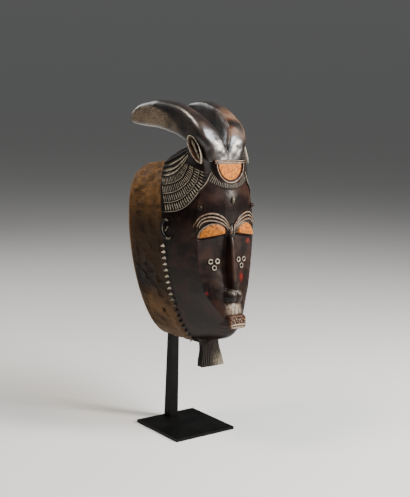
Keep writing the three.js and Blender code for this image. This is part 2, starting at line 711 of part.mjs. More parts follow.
// Everything that is carved from the one block
function makeMask() {
  const parts = [
    ...mirrored(makeHorn), ...mirrored(makeCup), ...mirrored(makeEar),
    ...makeBrows(), ...makeEyelids(), ...makeNose(), makeMouth(), ...makeMarks(),
    ...makeMoon(), makeFringe(), ...makeHair(), ...makeTeeth(), makeBeard(),
  ];
  const carved = parts.reduce((whole, part) => whole.add(part), makeBlock());
  return makeTieHoles().reduce((whole, hole) => whole.subtract(hole), carved.subtract(makeHollow()));
}

function geometryOf(solid) {
  const { numProp, vertProperties, triVerts } = solid.getMesh();
  const place = new THREE.BufferAttribute(vertProperties.slice(), numProp);
  const geometry = new THREE.BufferGeometry().setAttribute("position", place);
  geometry.setIndex(new THREE.BufferAttribute(triVerts.slice(), 1));
  geometry.computeVertexNormals();
  return geometry;
}

const carvedWood = new THREE.MeshStandardMaterial({ color: 0x2b1a12, roughness: 0.45, metalness: 0 });
const blackSteel = new THREE.MeshStandardMaterial({ color: 0x1d1c1a, roughness: 0.55, metalness: 0.8 });

function makePlate() {
  const geometry = new THREE.BoxGeometry(PLATE_SIDE, PLATE_SIDE, PLATE_THICKNESS);
  return geometry.translate(0, 0, PLATE_THICKNESS / 2);
}

// The post tapers as it rises behind the lower rim and into the open hollow
const ARM_TOP = up(1) - WALL - 1.6;
function makePost() {
  const ring = (width, depth, aside, front, z) => {
    const [left, right, back] = [aside - width / 2, aside + width / 2, front + depth];
    return [vec(left, front, z), vec(right, front, z), vec(right, back, z), vec(left, back, z)];
  };
  return geometryOf(
    skin([
      ring(POST_FOOT_WIDTH, POST_FOOT_DEPTH, POST_ASIDE, POST_FRONT, PLATE_THICKNESS),
      ring(POST_HEAD_SIDE, POST_HEAD_SIDE, POST_HEAD_ASIDE, POST_HEAD_FRONT, ARM_TOP),
    ]),
  );
}

// The arm reaches into the hollow, and the top of the shell rests on it
function makeArm() {
  const geometry = new THREE.BoxGeometry(ARM_WIDTH, ARM_REACH, ARM_THICKNESS);
  const back = POST_HEAD_FRONT - FIT * 1.5;
  return geometry.translate(ARM_ASIDE, back - ARM_REACH / 2, ARM_TOP - ARM_THICKNESS / 2);
}

// The mask as it hangs
function hung(geometry) {
  const [pivotY, pivotZ] = [fore(0.4675), up(0.478)];
  geometry.translate(0, -pivotY, -pivotZ).rotateX(-THREE.MathUtils.degToRad(MASK_LEAN));
  return geometry.translate(MASK_ASIDE, pivotY + MASK_BACK, pivotZ + MASK_LIFT);
}

const mask = new THREE.Group();
const addPiece = (name, geometry, material) => {
  const mesh = new THREE.Mesh(geometry, material);
  mesh.name = name;
  mask.add(mesh);
};
addPiece("mask", hung(geometryOf(makeMask())), carvedWood);
addPiece("stand_plate", makePlate(), blackSteel);
addPiece("stand_post", makePost(), blackSteel);
addPiece("stand_arm", makeArm(), blackSteel);

export default mask;
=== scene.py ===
"""A horned face mask carved from one block of wood, on a black steel display stand.

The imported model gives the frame, in metres, with +Z up and the face towards -Y. The block's plain shape
follows the same rules as the CAD solid, in millimetres, and the carving lies on it: a fine skin for the
face and the crown, a raw shell behind it, horns, ears, hair in separate locks, a toothed border and a
tuft of beard under the chin. The stand keeps its solids and gets a painted steel finish.
"""

import logging
import math
from dataclasses import dataclass
from enum import Enum
from typing import Any, Callable, Optional, Sequence

import bpy
import numpy as np
from mathutils import Matrix, Vector

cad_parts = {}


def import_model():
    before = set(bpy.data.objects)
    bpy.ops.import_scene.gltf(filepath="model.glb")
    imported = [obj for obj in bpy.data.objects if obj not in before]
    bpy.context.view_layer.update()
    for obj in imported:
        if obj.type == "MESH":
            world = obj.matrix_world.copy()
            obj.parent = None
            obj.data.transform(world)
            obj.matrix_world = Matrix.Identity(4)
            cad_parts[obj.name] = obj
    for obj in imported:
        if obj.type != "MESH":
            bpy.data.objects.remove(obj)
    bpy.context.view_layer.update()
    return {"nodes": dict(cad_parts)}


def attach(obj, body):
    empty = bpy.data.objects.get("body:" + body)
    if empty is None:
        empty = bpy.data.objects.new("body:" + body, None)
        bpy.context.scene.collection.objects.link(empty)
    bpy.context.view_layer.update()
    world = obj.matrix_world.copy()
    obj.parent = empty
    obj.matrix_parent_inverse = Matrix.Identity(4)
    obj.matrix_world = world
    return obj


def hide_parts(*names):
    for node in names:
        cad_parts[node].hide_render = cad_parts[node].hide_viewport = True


Array = np.ndarray
LOG = logging.getLogger("mask")
MILLIMETRE = 0.001
# What each vertex of a wooden piece keeps, from 0 to 1: rubbing with painted highlights, pigment, bare wood
# and red specks
MARKS = ("worn", "pigment", "raw", "fleck")


class Side(Enum):
    """The two mirrored halves of the face."""

    RIGHT = -1
    LEFT = 1

    @property
    def label(self) -> str:
        """The end of a piece's name."""
        return "_" + self.name.lower()


def smoothstep(low: float, high: float, value: Array) -> Array:
    """A soft step from 0 at low to 1 at high.

    Args:
        low: Where the step starts.
        high: Where it ends.
        value: What is read.

    Returns:
        The step, for each value.
    """
    t = np.clip((np.asarray(value, float) - low) / (high - low), 0.0, 1.0)
    return t * t * (3.0 - 2.0 * t)


def soft_max(a: Array, b: Array, blend: float) -> Array:
    """The higher of two fields with a rounded join.

    Args:
        a: One field.
        b: The other.
        blend: Width of the join in the fields' own unit.

    Returns:
        The joined field.
    """
    mix = np.clip(0.5 + 0.5 * (a - b) / blend, 0.0, 1.0)
    return b + (a - b) * mix + blend * mix * (1.0 - mix)


def hash_noise(cells: Array, seed: int) -> Array:
    """A repeatable number from 0 to 1 for each whole cell.

    Args:
        cells: Whole numbers, one row for each cell.
        seed: Changes the whole pattern.

    Returns:
        One number for each row.
    """
    factors = np.array([12.9898, 78.233, 37.719])[: cells.shape[-1]]
    value = np.sin(cells @ factors + seed * 4.137) * 43758.5453
    return value - np.floor(value)


def value_noise(points: Array, size: float, seed: int) -> Array:
    """Smooth unevenness from -1 to 1 over points in space.

    Args:
        points: Places, one row each.
        size: Distance between one bump and the next.
        seed: Changes the whole pattern.

    Returns:
        One number for each point.
    """
    scaled = points / size
    whole = np.floor(scaled)
    part = scaled - whole
    part = part * part * (3.0 - 2.0 * part)
    total = np.zeros(points.shape[:-1])
    for corner in np.ndindex(2, 2, 2):
        step = np.array(corner, float)
        weight = np.prod(np.where(step > 0.5, part, 1.0 - part), axis=-1)
        total += weight * hash_noise(whole + step, seed)
    return 2.0 * total - 1.0


def bell(value: Array, middle: Any, width: float) -> Array:
    """A soft bump of height 1 around a middle."""
    return np.exp(-(((value - middle) / width) ** 2))


def unit(vectors: Array) -> Array:
    """The same vectors at length 1."""
    return vectors / np.linalg.norm(vectors, axis=-1, keepdims=True)


def run_of(line: Array) -> Array:
    """Distance gone along a line at each of its points."""
    return np.concatenate([[0.0], np.cumsum(np.linalg.norm(np.diff(line, axis=0), axis=1))])


def signed_power(value: Array, power: float) -> Array:
    """A power of a value's size, with the value's own sign."""
    return np.sign(value) * np.power(np.abs(value), power)


def shrunk(ring: Array, share: float) -> Array:
    """A ring of points drawn in towards its middle."""
    middle = ring.mean(axis=0)
    return middle + (ring - middle) * share


@dataclass(frozen=True)
class CarvedBlock:
    """The plain block under all of the carving, in millimetres, by the same rules as the CAD solid."""

    clearance: float = 131.0
    height: float = 249.0
    width: float = 145.0
    depth: float = 154.0
    rim_plane: float = 32.0
    wall: float = 11.0
    rim_widest: float = 0.67
    border_share: float = 0.93
    border_at: float = 0.506
    border_lean: float = 0.22
    lean_from: float = 0.64
    cheek_power: float = 1.8
    flank_power: float = 0.9
    dome_round: float = 34.0
    # How the mask hangs on its stand
    lean_degrees: float = 2.37
    pivot: tuple[float, float] = (-40.0, 250.0)
    hung_by: tuple[float, float, float] = (-5.0, 4.4, 1.8)
    # Height, depth of the middle, place and depth of the cheek's edge, as shares
    stations: tuple[tuple[float, float, float, float], ...] = (
        (0.0, 0.506, 0.014, 0.506),
        (0.028, 0.61, 0.04, 0.604),
        (0.06, 0.822, 0.07, 0.797),
        (0.1, 0.926, 0.11, 0.893),
        (0.165, 0.957, 0.19, 0.928),
        (0.221, 0.954, 0.3, 0.9),
        (0.269, 0.93, 0.41, 0.86),
        (0.325, 0.897, 0.51, 0.83),
        (0.466, 0.852, 0.61, 0.81),
        (0.606, 0.858, 0.642, 0.814),
        (0.638, 0.885, 0.65, 0.812),
        (0.679, 0.896, 0.655, 0.808),
        (0.747, 0.909, 0.635, 0.802),
        (0.803, 0.909, 0.607, 0.802),
        (0.859, 0.896, 0.552, 0.805),
        (0.904, 0.886, 0.497, 0.812),
        (0.96, 0.864, 0.485, 0.812),
        (1.012, 0.838, 0.485, 0.778),
        (1.052, 0.779, 0.45, 0.69),
        (1.084, 0.584, 0.303, 0.545),
    )

    @property
    def crown(self) -> float:
        """Height share of the crown."""
        return self.stations[-1][0]

    def up(self, share: Any) -> Any:
        """Height above the floor of a height share."""
        return self.clearance + share * self.height

    def out(self, share: Any) -> Any:
        """Distance from the middle of a share of the half width."""
        return share * self.width / 2.0

    def fore(self, share: Any) -> Any:
        """Y of a depth share."""
        return self.rim_plane - share * self.depth

    def share_of(self, z: Any) -> Any:
        """Height share of a height above the floor."""
        return (z - self.clearance) / self.height

    def rim_half(self, h: Any) -> Array:
        """Half width of the back rim.

        Args:
            h: Height share.

        Returns:
            Millimetres from the middle.
        """
        h = np.asarray(h, float)
        below = h < self.rim_widest
        reach = np.where(below, self.rim_widest, 1.0 - self.rim_widest)
        t = np.clip(np.abs(h - self.rim_widest) / reach, 0.0, 1.0)
        low = np.power(1.0 - np.power(t, 1.65), 0.5)
        high = np.power(1.0 - np.power(t, 3.0), 1.0 / 3.8)
        return self.out(np.where(below, low, high))

    def border_half(self, h: Any) -> Array:
        """Half width of the line between the raw shell and the carved front.

        Args:
            h: Height share.

        Returns:
            Millimetres from the middle.
        """
        h = np.asarray(h, float)
        t = np.clip((h - self.rim_widest) / (self.crown + 0.01 - self.rim_widest), 0.0, 1.0)
        over = self.out(self.border_share * np.power(1.0 - np.power(t, 3.5), 1.0 / 1.5))
        return np.where(h < self.rim_widest, self.border_share * self.rim_half(h), over)

    def border_y(self, h: Any) -> Array:
        """Y of the same line, which leans back towards the crown."""
        t = np.clip(np.asarray(h, float) - self.lean_from, 0.0, None) / (self.crown - self.lean_from)
        return self.fore(self.border_at - self.border_lean * t * t)

    def hanging(self) -> Matrix:
        """The move from the upright block to the mask as it leans on its stand, in metres."""
        pivot = Vector((0.0, self.pivot[0], self.pivot[1])) * MILLIMETRE
        lean = Matrix.Rotation(-math.radians(self.lean_degrees), 4, "X")
        place = Matrix.Translation(pivot + Vector(self.hung_by) * MILLIMETRE)
        return place @ lean @ Matrix.Translation(-pivot)

    def station(self, column: int, h: Any) -> Array:
        """A smooth curve through one column of the stations.

        Args:
            column: 1 for the middle, 2 for the edge's place, 3 for the edge's depth.
            h: Height share.

        Returns:
            The column's share at each height.
        """
        table = np.array(self.stations)
        return curve_through(table[:, 0], table[:, column], h)

    def edges(self, h: Any) -> tuple[Array, Array, Array, Array]:
        """The cheek's edge and the border at a height.

        Args:
            h: Height share.

        Returns:
            Place of the edge, half width of the border, Y of the middle and Y of the edge.
        """
        edge = self.out(self.station(2, h))
        half = np.maximum(self.border_half(h), edge + 0.5)
        return edge, half, self.fore(self.station(1, h)), self.fore(self.station(3, h))

    def front_y(self, x: Any, z: Any) -> Array:
        """Y of the plain carved front.

        Args:
            x: Distance from the middle.
            z: Height above the floor.

        Returns:
            Y at each place.
        """
        h = self.share_of(np.asarray(z, float))
        edge, half, middle, edge_y = self.edges(h)
        a = np.abs(x)
        cheek = middle + (edge_y - middle) * np.power(np.clip(a / edge, 0.0, 1.0), self.cheek_power)
        s = np.clip((a - edge) / (half - edge), 0.0, 1.0)
        flank = edge_y + (self.border_y(h) - edge_y) * np.power(s, self.flank_power)
        return np.where(a <= edge, cheek, flank)

    def flank_x(self, y: Any, z: Any) -> Array:
        """Distance from the middle of the plain carved front.

        Args:
            y: Depth.
            z: Height above the floor.

        Returns:
            The distance at each place.
        """
        h = self.share_of(np.asarray(z, float))
        edge, half, middle, edge_y = self.edges(h)
        inner = np.clip((y - middle) / (edge_y - middle), 0.0, 1.0)
        outer = np.clip((y - edge_y) / (self.border_y(h) - edge_y), 0.0, 1.0)
        cheek = edge * np.power(inner, 1.0 / self.cheek_power)
        flank = edge + (half - edge) * np.power(outer, 1.0 / self.flank_power)
        return np.where(y <= edge_y, cheek, flank)

    def on_front(self, x: Any, z: Any) -> Array:
        """Points of the plain front at x and z."""
        x, z = np.broadcast_arrays(np.asarray(x, float), np.asarray(z, float))
        return np.stack([x, self.front_y(x, z), z], axis=-1)

    def on_flank(self, side: Side, y: Any, z: Any) -> Array:
        """Points of the plain flank at y and z."""
        y, z = np.broadcast_arrays(np.asarray(y, float), np.asarray(z, float))
        return np.stack([side.value * self.flank_x(y, z), y, z], axis=-1)

    def outward(self, points: Array, step: float = 1.5) -> Array:
        """Directions out of the plain front.

        Args:
            points: Places on it, one row each.
            step: Distance over which the slope is read.

        Returns:
            One unit vector for each point.
        """
        x, z = points[..., 0], points[..., 2]
        across = (self.front_y(x + step, z) - self.front_y(x - step, z)) / (2.0 * step)
        above = (self.front_y(x, z + step) - self.front_y(x, z - step)) / (2.0 * step)
        return unit(np.stack([across, -np.ones_like(across), above], axis=-1))

    def raised(self, path: Array, height: float) -> Array:
        """A path over the plain front, lifted out of it."""
        return path + height * self.outward(path)


def curve_through(places: Array, values: Array, at: Any) -> Array:
    """A smooth curve through a few stations.

    Args:
        places: Where the stations are, rising.
        values: What each one says.
        at: Where the curve is read.

    Returns:
        The curve's value at each place.
    """
    at = np.asarray(at, float)
    last = len(places) - 1
    i = np.clip(np.searchsorted(places, at, side="right") - 1, 0, last - 1)
    before = np.maximum(np.arange(last + 1) - 1, 0)
    after = np.minimum(np.arange(last + 1) + 1, last)
    slope = (values[after] - values[before]) / (places[after] - places[before])
    span = places[i + 1] - places[i]
    t = np.clip((at - places[i]) / span, 0.0, 1.0)
    t2, t3 = t * t, t * t * t
    return (
        (2 * t3 - 3 * t2 + 1) * values[i]
        + (t3 - 2 * t2 + t) * span * slope[i]
        + (3 * t2 - 2 * t3) * values[i + 1]
        + (t3 - t2) * span * slope[i + 1]
    )


def table_curves(table: Sequence[Sequence[float]], at: Any) -> list[Array]:
    """Smooth curves through a table's other columns, over its first one."""
    rows = np.array(table, float)
    return [curve_through(rows[:, 0], column, at) for column in rows.T[1:]]


def corner_curves(corners: Sequence[Sequence[float]], at: Array) -> list[Array]:
    """Smooth curves through the columns of a list of corners, which are spread evenly from 0 to 1."""
    rows = np.array(corners, float)
    places = np.linspace(0.0, 1.0, len(rows))
    return [curve_through(places, column, at) for column in rows.T]


BLOCK = CarvedBlock()


# Finishes


def linear(hex_colour: str) -> tuple[float, float, float, float]:
    """An sRGB hex colour as Blender's linear one.

    Args:
        hex_colour: Six digits after a hash.

    Returns:
        Red, green, blue and 1.
    """
    parts = [int(hex_colour[i : i + 2], 16) / 255.0 for i in (1, 3, 5)]
    rgb = [c / 12.92 if c <= 0.04045 else ((c + 0.055) / 1.055) ** 2.4 for c in parts]
    return (rgb[0], rgb[1], rgb[2], 1.0)


def add_node(tree: Any, kind: str, links: Optional[dict[Any, Any]] = None, **settings: Any) -> Any:
    """Adds a node to a tree, with its settings, its inputs' values and its links.

    Args:
        tree: Material or geometry tree.
        kind: Blender's name for the node.
        links: For each input, by name or number, a value or the socket that feeds it.
        **settings: Properties of the node itself.

    Returns:
        The new node.
    """
    node = tree.nodes.new(kind)
    for key, value in settings.items():
        setattr(node, key, value)
    for key, value in (links or {}).items():
        if isinstance(value, bpy.types.NodeSocket):
            tree.links.new(value, node.inputs[key])
        else:
            node.inputs[key].default_value = value
    return node


def socket(tree: Any, kind: str, links: Optional[dict[Any, Any]] = None, **settings: Any) -> Any:
    """Adds a node as add_node does, and gives its first output."""
    return add_node(tree, kind, links, **settings).outputs[0]


def mixed(tree: Any, factor: Any, first: Any, second: Any) -> Any:
    """A colour between two others, by the share of the second one."""
    return add_node(tree, "ShaderNodeMix", {0: factor, 6: first, 7: second}, data_type="RGBA").outputs[2]


def joined(tree: Any, operation: str, first: Any, second: Any) -> Any:
    """Two numbers joined by a sum, a product or the like."""
    return socket(tree, "ShaderNodeMath", {0: first, 1: second}, operation=operation)


def ramped(tree: Any, value: Any, low: float, high: float, start: float = 0.0, end: float = 1.0) -> Any:
    """A value spread between two limits.

    Args:
        tree: Material tree.
        value: Socket that is read.
        low: Reading that gives start.
        high: Reading that gives end.
        start: Result at low.
        end: Result at high.

    Returns:
        The result's socket.
    """
    links = {0: value, 1: low, 2: high, 3: start, 4: end}
    return socket(tree, "ShaderNodeMapRange", links, interpolation_type="SMOOTHSTEP")


def noise(tree: Any, place: Any, millimetres: float, detail: float, rough: float = 0.5) -> Any:
    """An uneven pattern on coordinates in metres.

    Args:
        tree: Material tree.
        place: Coordinates that it lies on.
        millimetres: Distance between one feature and the next.
        detail: Finer layers in it.
        rough: How strong those are.

    Returns:
        The pattern's socket.
    """
    scale = 1.0 / (millimetres * MILLIMETRE)
    links = {"Vector": place, "Scale": scale, "Detail": detail, "Roughness": rough}
    return socket(tree, "ShaderNodeTexNoise", links)


def surface(name: str, dress: Callable[[Any], dict[str, Any]]) -> Any:
    """A material with one shader.

    Args:
        name: Its name.
        dress: Adds the patterns to its tree and says what feeds the shader.

    Returns:
        The Blender material.
    """
    material = bpy.data.materials.new(name)
    material.use_nodes = True
    tree = material.node_tree
    tree.nodes.clear()
    shader = socket(tree, "ShaderNodeBsdfPrincipled", {**dress(tree), "IOR": 1.5})
    add_node(tree, "ShaderNodeOutputMaterial", {"Surface": shader})
    return material


@dataclass(frozen=True)
class CarvedWood:
    """Carved hardwood, hand cut, with its stain, its rubbed edges, its painted highlights and its pigment.

    The darkest parts are stained and oiled by handling, so they are smooth and shine. Edges are rubbed
    back to paler wood, and hollows keep dust. Grain runs up the block and is 1.1 or 1.5 mm wide, drawn a
    little coarser than the real 0.8 mm so that it shows.
    """

    name: str
    dark: str
    warm: str
    rubbed: str
    pigment: str = "#b8682f"
    pigment_pale: str = "#d79a5e"
    raw: str = "#7d4f30"
    fleck: str = "#8c1f16"
    bare_share: float = 0.4
    mirror: float = 0.5
    roughness: tuple[float, float] = (0.3, 0.5)
    grain_mm: float = 1.5
    patch_mm: float = 16.0
    grain_depth_mm: float = 0.12
    dust_mm: float = 2.6
    matt_roughness: float = 0.62
    coat: float = 0.25
    coat_roughness: float = 0.28

    def dress(self, tree: Any) -> dict[str, Any]:
        """Adds the wood's patterns to a tree.

        Args:
            tree: Material tree.

        Returns:
            What feeds each input of the shader.
        """
        dark, warm, rubbed = linear(self.dark), linear(self.warm), linear(self.rubbed)
        place = add_node(tree, "ShaderNodeTexCoord").outputs["Object"]
        along = socket(tree, "ShaderNodeMapping", {"Vector": place, "Scale": (1.0, 1.0, 0.05)})
        grain = noise(tree, along, self.grain_mm, 4.0, 0.6)
        patch = noise(tree, place, self.patch_mm, 3.0)
        dust = noise(tree, place, self.dust_mm, 6.0, 0.7)
        worn, pigment, raw, fleck = (self.attribute(tree, name) for name in MARKS)
        # Stain, darker and browner in patches, with the grain showing through
        colour = mixed(tree, ramped(tree, patch, 0.42, 0.66), dark, warm)
        colour = mixed(tree, ramped(tree, grain, 0.48, 0.66, 0.0, 0.6), colour, warm)
        specks = joined(tree, "MULTIPLY", fleck, ramped(tree, dust, 0.38, 0.5))
        colour = mixed(tree, specks, colour, linear(self.fleck))
        # Raw wood, where nothing was put on
        bare = mixed(tree, ramped(tree, patch, 0.35, 0.7, 0.0, self.bare_share), linear(self.raw), rubbed)
        bare = mixed(tree, ramped(tree, grain, 0.45, 0.7, 0.0, 0.5), bare, warm)
        colour = mixed(tree, raw, colour, bare)
        # Pigment, thin and uneven
        chalk = mixed(tree, ramped(tree, dust, 0.38, 0.56), linear(self.pigment), linear(self.pigment_pale))
        kept = joined(tree, "MULTIPLY", pigment, ramped(tree, grain, 0.2, 0.36))
        colour = mixed(tree, kept, colour, chalk)
        # Rubbed edges and painted highlights in the rubbed colour, broken up by the dust pattern
        rub_and_highlight_share = joined(tree, "MULTIPLY", worn, ramped(tree, dust, 0.34, 0.58, 0.2, 1.0))
        colour = mixed(tree, rub_and_highlight_share, colour, rubbed)
        # Oiled wood shines, and raw wood and pigment are matt
        matt = joined(tree, "MAXIMUM", kept, raw)
        smooth = ramped(tree, patch, 0.35, 0.7, *self.roughness)
        rough = socket(tree, "ShaderNodeMix", {0: matt, 2: smooth, 3: self.matt_roughness}, data_type="FLOAT")
        bump = {"Height": joined(tree, "ADD", grain, dust), "Strength": 0.5}
        bump["Distance"] = self.grain_depth_mm * MILLIMETRE
        return {
            "Base Color": colour, "Roughness": rough, "Normal": socket(tree, "ShaderNodeBump", bump),
            "Specular IOR Level": self.mirror, "Coat Weight": ramped(tree, matt, 0.1, 0.7, self.coat, 0.0),
            "Coat Roughness": self.coat_roughness,
        }

    def build(self) -> Any:
        """Makes the material."""
        return surface(self.name, self.dress)

    @staticmethod
    def attribute(tree: Any, name: str) -> Any:
        """The socket of a number that is kept at each vertex."""
        return add_node(tree, "ShaderNodeAttribute", attribute_name=name).outputs["Fac"]


@dataclass(frozen=True)
class PaintedSteel:
    """Mild steel bar and plate, sprayed matt black, with a fine orange-peel and patches where the paint is
    thinner.
    """

    name: str = "matt_black_painted_steel"
    paint: str = "#050505"
    thin: str = "#0d0d0c"
    roughness: tuple[float, float] = (0.42, 0.56)
    mirror: float = 0.12
    peel_mm: float = 0.9
    peel_depth_mm: float = 0.05
    patch_mm: float = 30.0

    def dress(self, tree: Any) -> dict[str, Any]:
        """Adds the paint's patterns to a tree.

        Args:
            tree: Material tree.

        Returns:
            What feeds each input of the shader.
        """
        place = add_node(tree, "ShaderNodeTexCoord").outputs["Object"]
        patch = noise(tree, place, self.patch_mm, 4.0)
        bump = {"Height": noise(tree, place, self.peel_mm, 2.0), "Strength": 0.3}
        bump["Distance"] = self.peel_depth_mm * MILLIMETRE
        return {
            "Base Color": mixed(tree, ramped(tree, patch, 0.4, 0.7), linear(self.paint), linear(self.thin)),
            "Roughness": ramped(tree, patch, 0.35, 0.7, *self.roughness),
            "Normal": socket(tree, "ShaderNodeBump", bump), "Specular IOR Level": self.mirror,
        }

    def build(self) -> Any:
        """Makes the material."""
        return surface(self.name, self.dress)


@dataclass(frozen=True)
class Finishes:
    """The finishes of the whole part, each made once."""

    face: Any
    hair: Any
    shell: Any
    horn: Any
    steel: Any

    @classmethod
    def made(cls) -> "Finishes":
        """Builds every finish.

        Returns:
            The set of them.
        """
        # Each rubbed colour also serves for the painted highlights of its finish
        face = CarvedWood(
            name="stained_polished_hardwood", dark="#0c0706", warm="#281710", rubbed="#bbaa92",
            pigment="#6b2f09", pigment_pale="#b36b20", roughness=(0.3, 0.44), coat=0.12,
            mirror=0.16, patch_mm=30.0, grain_mm=1.1, grain_depth_mm=0.14, raw="#0d0704",
            bare_share=0.0,
        )
        hair = CarvedWood(
            name="stained_combed_hardwood", dark="#070504", warm="#150d09", rubbed="#b0a48e",
            roughness=(0.36, 0.5), coat=0.1, mirror=0.2,
        )
        shell = CarvedWood(
            name="raw_adzed_hardwood", dark="#0f0805", warm="#170d07", rubbed="#7c5a36",
            raw="#1c1109", roughness=(0.42, 0.6), coat=0.03, mirror=0.12, patch_mm=42.0, grain_depth_mm=0.2,
        )
        horn = CarvedWood(
            name="stained_rubbed_hardwood", dark="#0e0a08", warm="#211711", rubbed="#94816a",
            roughness=(0.28, 0.42), coat=1.0, coat_roughness=0.27, mirror=0.45, patch_mm=22.0, raw="#54290c",
        )
        return cls(face.build(), hair.build(), shell.build(), horn.build(), PaintedSteel().build())


# Meshes


def grid_faces(rows: int, columns: int, closed: bool = False) -> Array:
    """Quads of a grid of points that is stored row by row.

    Args:
        rows: Points up.
        columns: Points across.
        closed: Whether the last column joins the first.

    Returns:
        Four point numbers for each quad.
    """
    r = np.arange(rows - 1)[:, None] * columns
    c = np.arange(columns if closed else columns - 1)[None, :]
    after = (c + 1) % columns
    quads = np.stack([r + c, r + after, r + columns + after, r + columns + c], axis=-1)
    return quads.reshape(-1, 4)


def new_object(name: str, data: Any) -> Any:
    """An object in the scene, at the origin."""
    made = bpy.data.objects.new(name, data)
    bpy.context.scene.collection.objects.link(made)
    return made


def shade_smooth(mesh: Any) -> None:
    """Shades all faces of a mesh as one surface."""
    mesh.polygons.foreach_set("use_smooth", np.ones(len(mesh.polygons), bool))


def make_piece(
    name: str, points: Array, faces: Sequence[Any], material: Any, marks: Optional[dict[str, Array]] = None
) -> Any:
    """A Blender object from points in millimetres, which stands for the carved mask.

    Args:
        name: The object's name.
        points: Places, one row each.
        faces: Point numbers of each face.
        material: Its finish.
        marks: Numbers from 0 to 1 for each point, by name.

    Returns:
        The new object.
    """
    mesh = bpy.data.meshes.new(name)
    mesh.from_pydata((points * MILLIMETRE).tolist(), [], [list(map(int, f)) for f in faces])
    mesh.validate()
    mesh.update()
    shade_smooth(mesh)
    mesh.materials.append(material)
    piece = new_object(name, mesh)
    for key in MARKS:
        mark(piece, key, (marks or {}).get(key, np.zeros(len(points))))
    return piece


def mark(piece: Any, name: str, values: Array) -> None:
    """Keeps a number at each vertex of a piece.

    Args:
        piece: The object.
        name: What the number is called in its finish.
        values: One number for each vertex.
    """
    kept = piece.data.attributes.get(name) or piece.data.attributes.new(name, "FLOAT", "POINT")
    kept.data.foreach_set("value", np.clip(np.asarray(values, float), 0.0, 1.0).astype(np.float32))


def vectors_of(items: Any, name: str) -> Array:
    """A vector that each item of a mesh has, one row each."""
    flat = np.empty(len(items) * 3, np.float32)
    items.foreach_get(name, flat)
    return flat.reshape(-1, 3).astype(float)


def places_of(piece: Any) -> Array:
    """A piece's vertices in millimetres, one row each."""
    return vectors_of(piece.data.vertices, "co") / MILLIMETRE


def normals_of(piece: Any) -> Array:
    """A piece's vertex normals, one row each."""
    return vectors_of(piece.data.vertex_normals, "vector")


def wood_piece(piece: Any) -> None:
    """Hangs a finished wooden piece on the stand, where it rides with the mask and stands for its solid.

    Args:
        piece: The object.
    """
    piece.data.transform(BLOCK.hanging())
    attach(piece, "root")
    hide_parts("mask")
    LOG.info("%s: %d faces", piece.name, len(piece.data.polygons))


# Geometry Nodes: strands along paths, and shapes set on points


def new_tree(name: str, numbers: dict[str, Any]) -> Any:
    """A geometry tree that takes a mesh, some numbers and a finish.

    Args:
        name: Its name.
        numbers: What each number is called, and its value where none is given.

    Returns:
        The geometry node group, with only its sockets.
    """
    group = bpy.data.node_groups.new(name, "GeometryNodeTree")
    kinds = {int: "NodeSocketInt", float: "NodeSocketFloat"}
    given = {key: kinds[type(value)] for key, value in numbers.items()}
    sockets = {"Geometry": "NodeSocketGeometry", **given, "Finish": "NodeSocketMaterial"}
    for key, kind in sockets.items():
        made = group.interface.new_socket(key, in_out="INPUT", socket_type=kind)
        if key in numbers:
            made.default_value = numbers[key]
    group.interface.new_socket("Geometry", in_out="OUTPUT", socket_type="NodeSocketGeometry")
    return group


def close_tree(group: Any, geometry: Any, finish: Any) -> None:
    """Ends a geometry tree, with all that it made as one mesh in one finish.

    Args:
        group: The tree.
        geometry: Socket of what it made.
        finish: Socket of the material.
    """
    whole = socket(group, "GeometryNodeRealizeInstances", {"Geometry": geometry})
    done = socket(group, "GeometryNodeSetMaterial", {"Geometry": whole, "Material": finish})
    add_node(group, "NodeGroupOutput", {0: done})


def strand_tree() -> Any:
    """Raised strands along paths, as a knife leaves them between two cuts.

    Returns:
        A tree that turns paths into tubes of the radius kept at their points.
    """
    group = new_tree("strands_along_paths", {"Sides": 10, "Width": 1.0})
    given = add_node(group, "NodeGroupInput").outputs
    radius = socket(group, "GeometryNodeInputNamedAttribute", {"Name": "radius"})
    scaled = joined(group, "MULTIPLY", radius, given["Width"])
    curve = socket(group, "GeometryNodeMeshToCurve", {"Mesh": given["Geometry"]})
    ring = socket(group, "GeometryNodeCurvePrimitiveCircle", {"Resolution": given["Sides"], "Radius": 1.0})
    tube = {"Curve": curve, "Profile Curve": ring, "Scale": scaled, "Fill Caps": True}
    close_tree(group, socket(group, "GeometryNodeCurveToMesh", tube), given["Finish"])
    return group


def stud_tree() -> Any:
    """Small cut shapes set on points of the carving: cones with their tops taken off.

    Returns:
        A tree that sets one shape on each point, turned and sized by what the point keeps.
    """
    group = new_tree("shapes_on_points", {"Sides": 4, "Top share": 0.35})
    given = add_node(group, "NodeGroupInput").outputs
    cone = {"Vertices": given["Sides"], "Side Segments": 3, "Radius Top": given["Top share"]}
    shape = socket(group, "GeometryNodeMeshCone", {**cone, "Radius Bottom": 1.0, "Depth": 1.0})
    away, along, size = (
        socket(group, "GeometryNodeInputNamedAttribute", {"Name": key}, data_type="FLOAT_VECTOR")
        for key in ("away", "along", "size")
    )
    turned = socket(group, "FunctionNodeAlignRotationToVector", {"Vector": away}, axis="Z")
    faced = {"Rotation": turned, "Vector": along}
    turned = socket(group, "FunctionNodeAlignRotationToVector", faced, axis="X", pivot_axis="Z")
    places = {"Points": given["Geometry"], "Instance": shape, "Rotation": turned, "Scale": size}
    close_tree(group, socket(group, "GeometryNodeInstanceOnPoints", places), given["Finish"])
    return group


